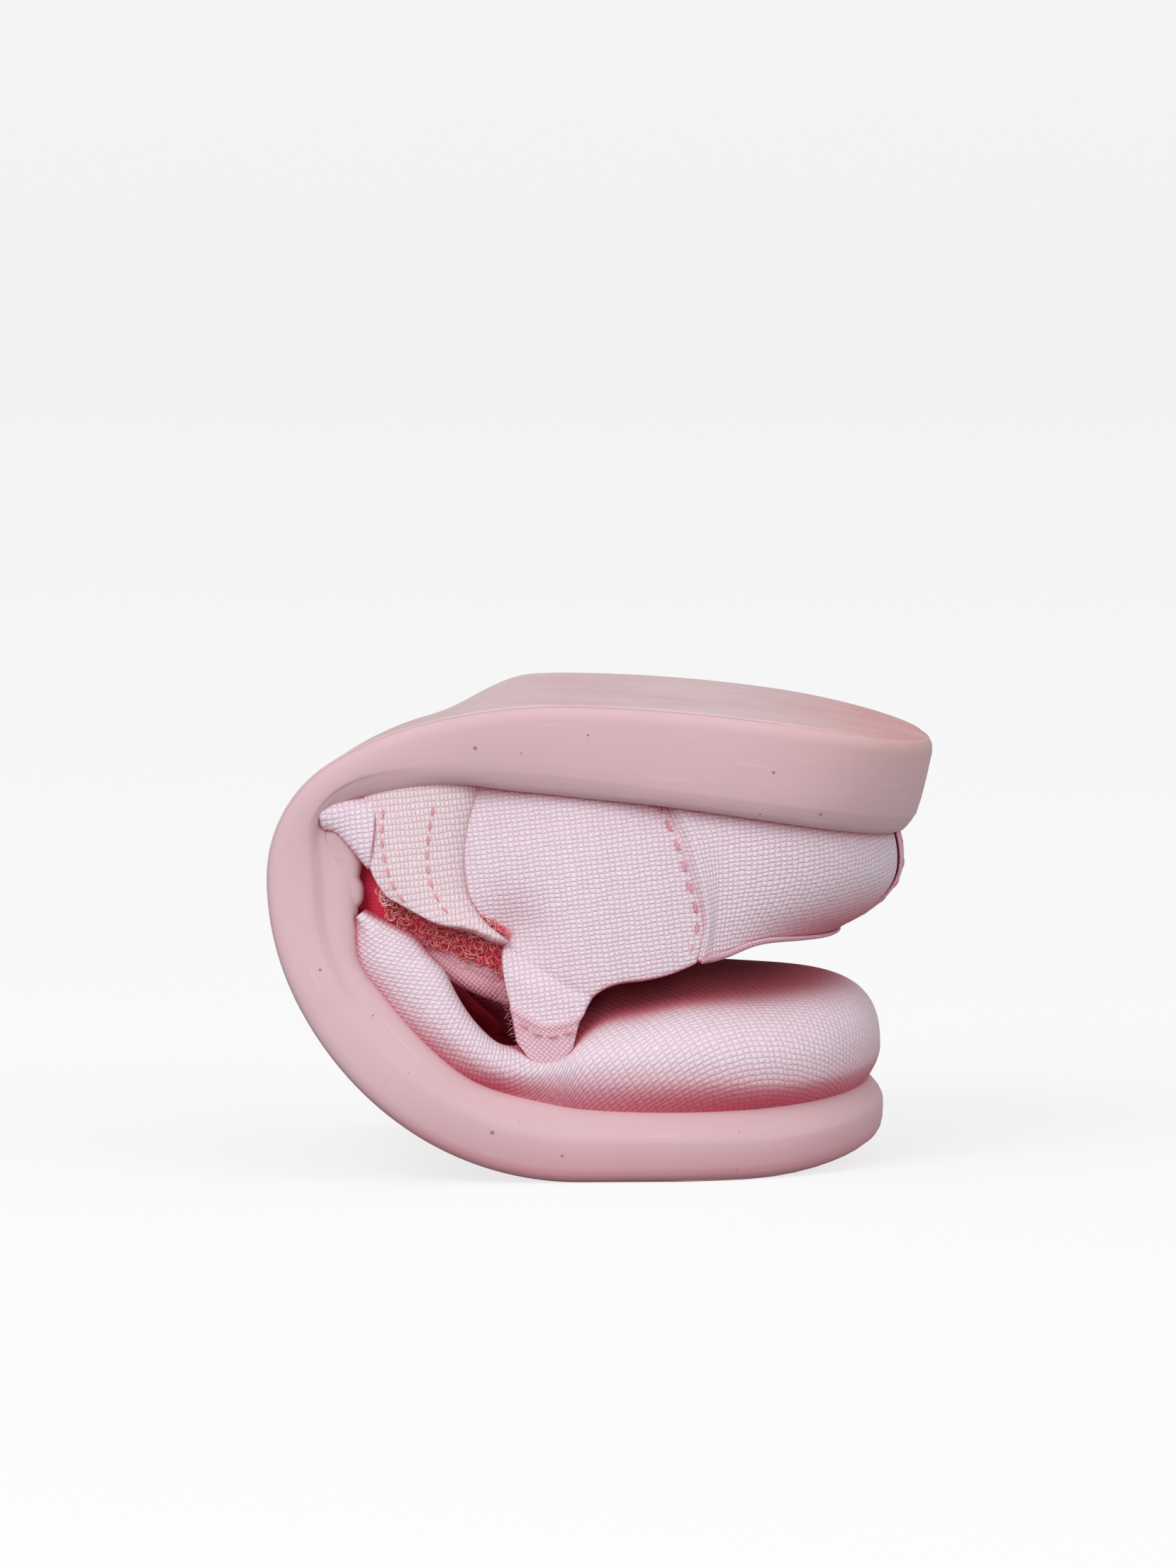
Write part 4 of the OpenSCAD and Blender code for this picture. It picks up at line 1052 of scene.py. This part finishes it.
def buildHeel():
    panel, uv = heelRing(26, 0.0)
    place(cloth("heelPanel", [(panel, uv)], 0.9), "quarterCanvas", ["heel_panel"], body="heel")
    inner, innerUv = heelRing(16, -1.0, drop=0.4)
    patches = [(inner, innerUv)]
    for side in (-1, 1):
        body = lineUp(sideCloth(side)[0][:, 1:-2], side, -1.1)
        patches.append((body, clothUv(body)))
    lining = cloth("quarterLining", patches, 0.5)
    place(lining, "lining", ["quarter_lining"], body="heel")
    # the binding wraps the panel's top edge, and thins out towards its two ends
    edge = panel[3:-3, -1]
    n = len(edge)
    away = edge - panel[3:-3, -2]
    away /= np.linalg.norm(away, axis=1, keepdims=True)
    outer = np.cross(np.gradient(edge, axis=0), away)
    outer /= np.linalg.norm(outer, axis=1, keepdims=True)
    outer *= np.where((outer * (edge - edge.mean(0))).sum(1, keepdims=True) < 0, -1, 1)
    turn = np.linspace(-0.15, math.pi + 0.15, 9)[None, :, None]
    grow = np.minimum(1, np.minimum(np.arange(n), n - 1 - np.arange(n)) / 6)[:, None, None] * 0.7 + 0.3
    wrap = outer[:, None] * np.cos(turn) * 0.66 + away[:, None] * (np.sin(turn) * 0.45 - 0.6)
    ring = edge[:, None] + grow * wrap
    low = ring[:, :1] - away[:, None] * 0.25 * grow
    high = ring[:, -1:] - away[:, None] * 1.3 * grow
    band = np.concatenate([low, ring, high], axis=1)
    binding = cloth("toplineBinding", [(band, flatUv(uv[3:-3, -1:, 0], alongRows(band)))], 0.35)
    place(binding, "tape", ["topline_binding"], body="heel")
    middle = len(panel) // 2
    strip = panel[middle - 3:middle + 4, 7:-1].copy()
    centre = panel[:, 8:-1].mean(axis=(0, 1))
    out = strip - centre
    out[..., 2] = 0
    out /= np.linalg.norm(out, axis=-1, keepdims=True)
    strip = strip + out * 0.72
    tapePiece = cloth("backTape", [(strip, strip[..., 1:])], 0.4)
    place(tapePiece, "tape", ["back_tape"], body="heel")
    parts = []
    for col in (1, 5):
        line = strip[col] + out[col] * 0.2
        parts += stitchRow(line, out[3].mean(0), length=1.3, pitch=2.2, radius=0.12, lift=0.0)
    place(joined("backTapeStitches", parts), "thread", ["back_tape_stitches"], body="heel")
    parts = []
    for side in (-1, 1):
        seam = evenLine(edgeLine(side, upper["seam"]), 60)[9:-2]
        seam = lineUp(seam, side, 0.62)
        seam[:, 0] -= 1.0
        bow = 0.85 * np.sin(np.linspace(0, math.pi, len(seam)))
        seam[:, 1] += side * bow * 0.35
        parts += stitchRow(seam, (0, side, 0), length=1.2, pitch=2.1, radius=0.09, lift=0.04)
    place(joined("sideSeamStitches", parts), "thread", ["side_seam_stitches"], body="heel")


buildHeel()
print("heel ready")


# ---- ribbed webbing between the bend and the quarter, and the folded corner of canvas beside it
webbing = {
    "top": [(-23.6, 38.2), (-18.5, 39.2), (-13.2, 39.6)],
    "left": [(-23.6, 38.2), (-23.4, 33.0), (-22.3, 29.6), (-21.0, 27.7)],
    "low": [(-21.0, 27.7), (-18.7, 26.5), (-16.2, 25.1), (-12.8, 24.4), (-10.6, 23.5)],
    "right": [(-13.2, 39.6), (-14.7, 34.6), (-15.1, 31.2), (-14.8, 28.4), (-13.4, 25.9), (-10.6, 23.5)],
}


def sidePoints(side, keys, y):
    k = np.array(keys, float)
    across = np.full(len(k), float(y)) if np.isscalar(y) else np.asarray(y, float)
    return np.stack([k[:, 0], side * across, k[:, 1]], -1)


def sideDepth(z):
    # how far out the webbing's side stands, from the lip down to its lower edge
    return np.interp(z, [23, 31, 40], [24.3, 22.6, 20.4])


def sideLine(side, keys, off=0.0):
    k = np.array(keys, float)
    return np.stack([k[:, 0], side * (sideDepth(k[:, 1]) + off), k[:, 1]], -1)


def buildWebbing(side):
    tag = "near" if side < 0 else "far"
    edges = [sideLine(side, webbing[name]) for name in ("top", "low", "left", "right")]
    face = coons(*edges, 26, 22)
    bulge = np.sin(np.linspace(0, math.pi, 22))[None, :] * 0.7
    face[..., 1] += side * bulge
    tucked = face[:, -1:] + np.array([1.8, -side * 0.9, -0.6])
    face = np.concatenate([face, tucked], axis=1)
    uv = clothUv(face)
    piece = cloth("webbingNear" if side < 0 else "webbingFar", [(face, uv)], 1.1)
    place(piece, "webbing", [f"webbing_{tag}"], body="heel")
    parts = []
    for column in (5, 16):
        line = face[4:-2, column] + np.array([0, side * 0.62, 0])
        parts += stitchRow(line, (0, side, 0), length=0.95, pitch=1.45, radius=0.09, lift=0.05)
    # the seam where the quarter's edge is turned under against the webbing
    edge = evenLine(lineUp(edgeLine(side, upper["front"]), side, -0.1), 40)
    piping = joined(f"quarterPiping_{tag}", [tube(edge + np.array([-0.35, side * 0.42, -0.1]), 0.17, 8)])
    place(piping, "thread", [], body="heel")
    return parts


threads = buildWebbing(-1) + buildWebbing(1)
place(joined("webbingStitches", threads), "thread", ["webbing_stitches"], body="heel")

corner = {
    "top": [(-28.0, 36.6), (-25.6, 38.2), (-22.0, 38.9)],
    "low": [(-27.6, 34.6), (-26.2, 34.3), (-24.4, 32.6), (-22.5, 30.4)],
}


def buildCorner(side):
    tag = "near" if side < 0 else "far"
    top, low = sideLine(side, corner["top"], -1.0), sideLine(side, corner["low"], 0.2)
    pairs = zip(corner["top"] + corner["top"][-1:], corner["low"])
    middle = sideLine(side, [(mix(a[0], b[0], 0.55), mix(a[1], b[1], 0.55)) for a, b in pairs], 0.9)
    under = low + np.array([0.9, -side * 1.8, 0.9])
    rows = [evenLine(line, 16) for line in (top, middle, low, under)]
    grid = np.stack([evenLine(np.stack([r[k] for r in rows]), 14) for k in range(16)], 0)
    piece = cloth(f"foldedCorner_{tag}", [(grid, clothUv(grid))], 0.9)
    place(piece, "quarterCanvas", [], body="heel")


for side in (-1, 1):
    buildCorner(side)
print("webbing ready")


# ---- the flap folded in under the instep, its binding, and the loop pile on it
flap = {
    "high": [(-22.6, 30.0), (-18.0, 28.6), (-13.0, 27.2), (-7.5, 25.0)],
    "low": [(-20.3, 24.2), (-16.6, 21.9), (-12.6, 19.9), (-6.5, 17.8)],
}


def buildFlap():
    y = 20.6
    high, low = sidePoints(-1, flap["high"], y + 1.2), sidePoints(-1, flap["low"], y - 0.2)
    turnIn = evenLine(low, 24)
    face = between(evenLine(high, 24), turnIn, 14)
    # past its lower edge the cloth turns in and runs across under the instep
    inward = [(0, 0), (1.0, -0.5), (3.2, 0.2), (8, 2.4), (14, 4.6), (22, 5.6), (30, 5.0), (38, 6.4)]
    rows = [turnIn + np.array([0, dy, dz]) for dy, dz in inward]
    under = np.stack([evenLine(np.stack([row[k] for row in rows]), 26) for k in range(len(turnIn))], 1)
    sheet = np.concatenate([face, under[1:]], 0)
    uv = flatUv(sheet[..., 0], -alongRows(sheet.swapaxes(0, 1)).swapaxes(0, 1))
    piece = cloth("instepFlap", [(sheet, uv)], 0.8)
    place(piece, "lining", ["instep_flap"], body="heel")
    # binding: a flat pale tape with two creases along the flap's lower edge
    base = evenLine(low, 40) + np.array([0, -0.75, 0])
    profile = [(-0.2, 1.5), (-0.42, 1.1), (-0.2, 0.85), (-0.42, 0.55), (-0.2, 0.3),
               (-0.55, -0.3), (-0.6, -1.1), (-0.2, -1.7), (0.5, -1.8)]
    tape = np.stack([base + np.array([0, a, b]) for a, b in profile], 1)
    piece = cloth("flapBinding", [(tape, flatUv(base[:, :1], tape[..., 2]))], 0.3)
    place(piece, "tape", ["flap_binding"], body="heel")
    endHigh = evenLine([(-14.9, -21.4, 21.6), (-13.2, -21.5, 20.9)], 6)
    endLow = evenLine([(-14.6, -21.4, 20.1), (-12.9, -21.5, 19.4)], 6)
    end = between(endHigh, endLow, 6)
    place(cloth("flapBindingEnd", [(end, clothUv(end))], 0.5), "webbing", [], body="heel")
    # loop pile: a backing and a thicket of small curls
    backing = face[2:12, :21].copy()
    backing[..., 1] -= 0.75
    curls = np.random.default_rng(7)
    parts = []
    for _ in range(420):
        i, j = curls.uniform(0, backing.shape[0] - 1.01), curls.uniform(0, backing.shape[1] - 1.01)
        a, b = int(i), int(j)
        before, after = [mix(backing[a, c], backing[a + 1, c], i - a) for c in (b, b + 1)]
        root = mix(before, after, j - b)
        size, turn0 = curls.uniform(0.28, 0.55), curls.uniform(0, 2 * math.pi)
        t = np.linspace(0, 1, 9)
        curl = curls.uniform(1.2, 1.9) * math.pi * t + turn0
        path = root + np.stack([np.cos(curl) * size * (0.5 + t) * 0.8, -t * curls.uniform(0.5, 1.2),
                                np.sin(curl) * size * (0.5 + t) * 0.8], -1)
        parts.append(tube(path, curls.uniform(0.045, 0.075), 5, taper=1))
    fringe = []
    for _ in range(80):
        j = curls.uniform(1, backing.shape[1] - 3)
        b, t = int(j), np.linspace(0, 1, 11)
        root = mix(backing[2, b], backing[2, b + 1], j - b) + np.array([0, -0.5, curls.uniform(-0.5, 0.9)])
        curl, size = curls.uniform(1.0, 1.7) * math.pi * t + curls.uniform(0, 3), curls.uniform(0.3, 0.6)
        out = -t * curls.uniform(0.3, 0.8)
        path = root + np.stack([(np.cos(curl) - 0.3) * size, out, np.sin(curl) * size], -1)
        fringe.append(tube(path, curls.uniform(0.04, 0.07), 5, taper=1))
    place(joined("loopFringe", fringe), "hooks", [], body="heel")
    pile = joined("loopPile", parts)
    place(pile, "loops", ["loop_patch"], body="heel")
    ground = cloth("loopGround", [(backing, clothUv(backing))], 0.4)
    place(ground, "lining", [], body="heel")


buildFlap()


# ---- rubber pad inside the bend, the crimson lining seen past it, and stray fibres
def buildBend(side):
    tag = "near" if side < 0 else "far"
    left = [(-28.8, 35.0), (-29.6, 31.5), (-29.0, 28.5), (-28.0, 25.8)]
    right = [(-25.5, 34.7), (-24.6, 33.2), (-24.0, 31.2), (-24.2, 29.4), (-23.8, 28.2),
             (-24.2, 26.8), (-25.6, 25.6)]
    outer = evenLine(sidePoints(side, left, 20.4), 26)
    inner = evenLine(sidePoints(side, right, 21.9), 26)
    ragged = np.random.default_rng(11).normal(0, 0.09, 26)
    inner[:, 0] += ragged
    back = inner + np.array([-0.5, -side * 2.6, 0])
    grid = np.stack([evenLine(np.stack([a, mix(a, b, 0.6) + np.array([0, side * 0.25, 0]), b, c]), 12)
                     for a, b, c in zip(outer, inner, back)], 0)
    pad = cloth(f"bendPad_{tag}", [(grid, clothUv(grid))], 0.9)
    place(pad, "wall", [], bend=3)
    top = evenLine(sidePoints(side, [(-27.5, 36.0), (-22.0, 34.5), (-17.0, 31.0)], 20.6), 16)
    low = evenLine(sidePoints(side, [(-27.0, 24.5), (-22.5, 24.0), (-17.0, 22.0)], 19.6), 16)
    sheet = between(top, low, 14)
    sheet[..., 1] += 0.35 * np.sin(np.linspace(0, 9, 16))[None, :]
    inside = cloth(f"bendLining_{tag}", [(sheet, clothUv(sheet))], 0.5)
    place(inside, "lining", [], body="heel")


for side in (-1, 1):
    buildBend(side)


def buildFibres():
    chance = np.random.default_rng(3)
    parts = []
    line = evenLine(edgeLine(-1, strap["left"] + strap["tip"][:3]), 60)
    for k in chance.integers(8, 44, 70):
        start = line[k] + chance.normal(0, 0.1, 3)
        way = np.array([-chance.uniform(0.3, 1.0), chance.normal(0, 0.35), chance.uniform(-0.9, 0.35)])
        bow = chance.normal(0, 0.25, 3)
        t = np.linspace(0, 1, 7)[:, None]
        parts.append(tube(start + way * t * chance.uniform(0.5, 1.2) + bow * t * t, 0.016, 4, taper=1))
    place(joined("strapFibres", parts), "hooks", [], body="strap")


buildFibres()
print("flap ready")


# ---- studio: pale sweep, soft light, camera
studio = {
    "aim": (-1.35, 0, 37.0), "distance": 1500, "rise": 4.5, "frame": 156.1, "sensor": 36,
    "paperGlow": 0.18, "paperSeen": 0.75,
}


def buildStudio():
    profile = [(-3.0, 0.0), (1.6, 0.0)]
    profile += [(1.6 + 1.0 * math.sin(a), 1.0 - 1.0 * math.cos(a)) for a in np.linspace(0.1, math.pi / 2, 12)]
    profile += [(2.6, 4.0)]
    verts = [(x, y, z) for y, z in profile for x in (-4.0, 4.0)]
    faces = [(2 * i, 2 * i + 1, 2 * i + 3, 2 * i + 2) for i in range(len(profile) - 1)]
    mesh = bpy.data.meshes.new("sweep")
    mesh.from_pydata(verts, [], faces)
    mesh.polygons.foreach_set("use_smooth", [True] * len(faces))
    floor = bpy.data.objects.new("sweep", mesh)
    bpy.context.scene.collection.objects.link(floor)
    material, tree, shader = newMaterial("paper")
    # the paper looks brighter to the camera than the light it throws on the shoe
    seen = nodeIn(tree, "ShaderNodeLightPath").outputs["Is Camera Ray"]
    feed(tree, shader, {
        "Base Color": (0.2, 0.2, 0.2, 1), "Roughness": 0.95, "Specular IOR Level": 0.05,
        "Emission Color": (1, 1, 1, 1),
        "Emission Strength": spread(tree, seen, 0, 1, studio["paperGlow"], studio["paperSeen"])})
    mesh.materials.append(material)


def areaLight(name, at, aim, size, power):
    data = bpy.data.lights.new(name, "AREA")
    data.shape = "DISK"
    data.size = size
    data.energy = power
    lamp = bpy.data.objects.new(name, data)
    lamp.location = at
    lamp.rotation_euler = (Vector(aim) - Vector(at)).to_track_quat("-Z", "Y").to_euler()
    bpy.context.scene.collection.objects.link(lamp)


def buildCamera():
    data = bpy.data.cameras.new("camera")
    data.sensor_fit = "VERTICAL"
    data.sensor_height = studio["sensor"]
    data.lens = studio["sensor"] * studio["distance"] / studio["frame"]
    camera = bpy.data.objects.new("camera", data)
    rise = math.radians(studio["rise"])
    aim = Vector(studio["aim"]) * mm
    camera.location = aim + Vector((0, -math.cos(rise), math.sin(rise))) * studio["distance"] * mm
    camera.rotation_euler = (math.pi / 2 - rise, 0, 0)
    bpy.context.scene.collection.objects.link(camera)
    bpy.context.scene.camera = camera


buildStudio()
buildCamera()
areaLight("key", (-0.9, -1.4, 1.2), (0, 0, 0.02), 1.4, 24)
areaLight("fill", (1.3, -1.3, 0.8), (0, 0, 0.03), 1.6, 10)
world = bpy.data.worlds.new("world")
world.use_nodes = True
feed(world.node_tree, world.node_tree.nodes["Background"], {"Color": (1, 1, 1, 1), "Strength": 0.7})
bpy.context.scene.world = world
bpy.context.scene.view_settings.view_transform = "Standard"
bpy.context.scene.view_settings.look = "None"
print("studio ready")
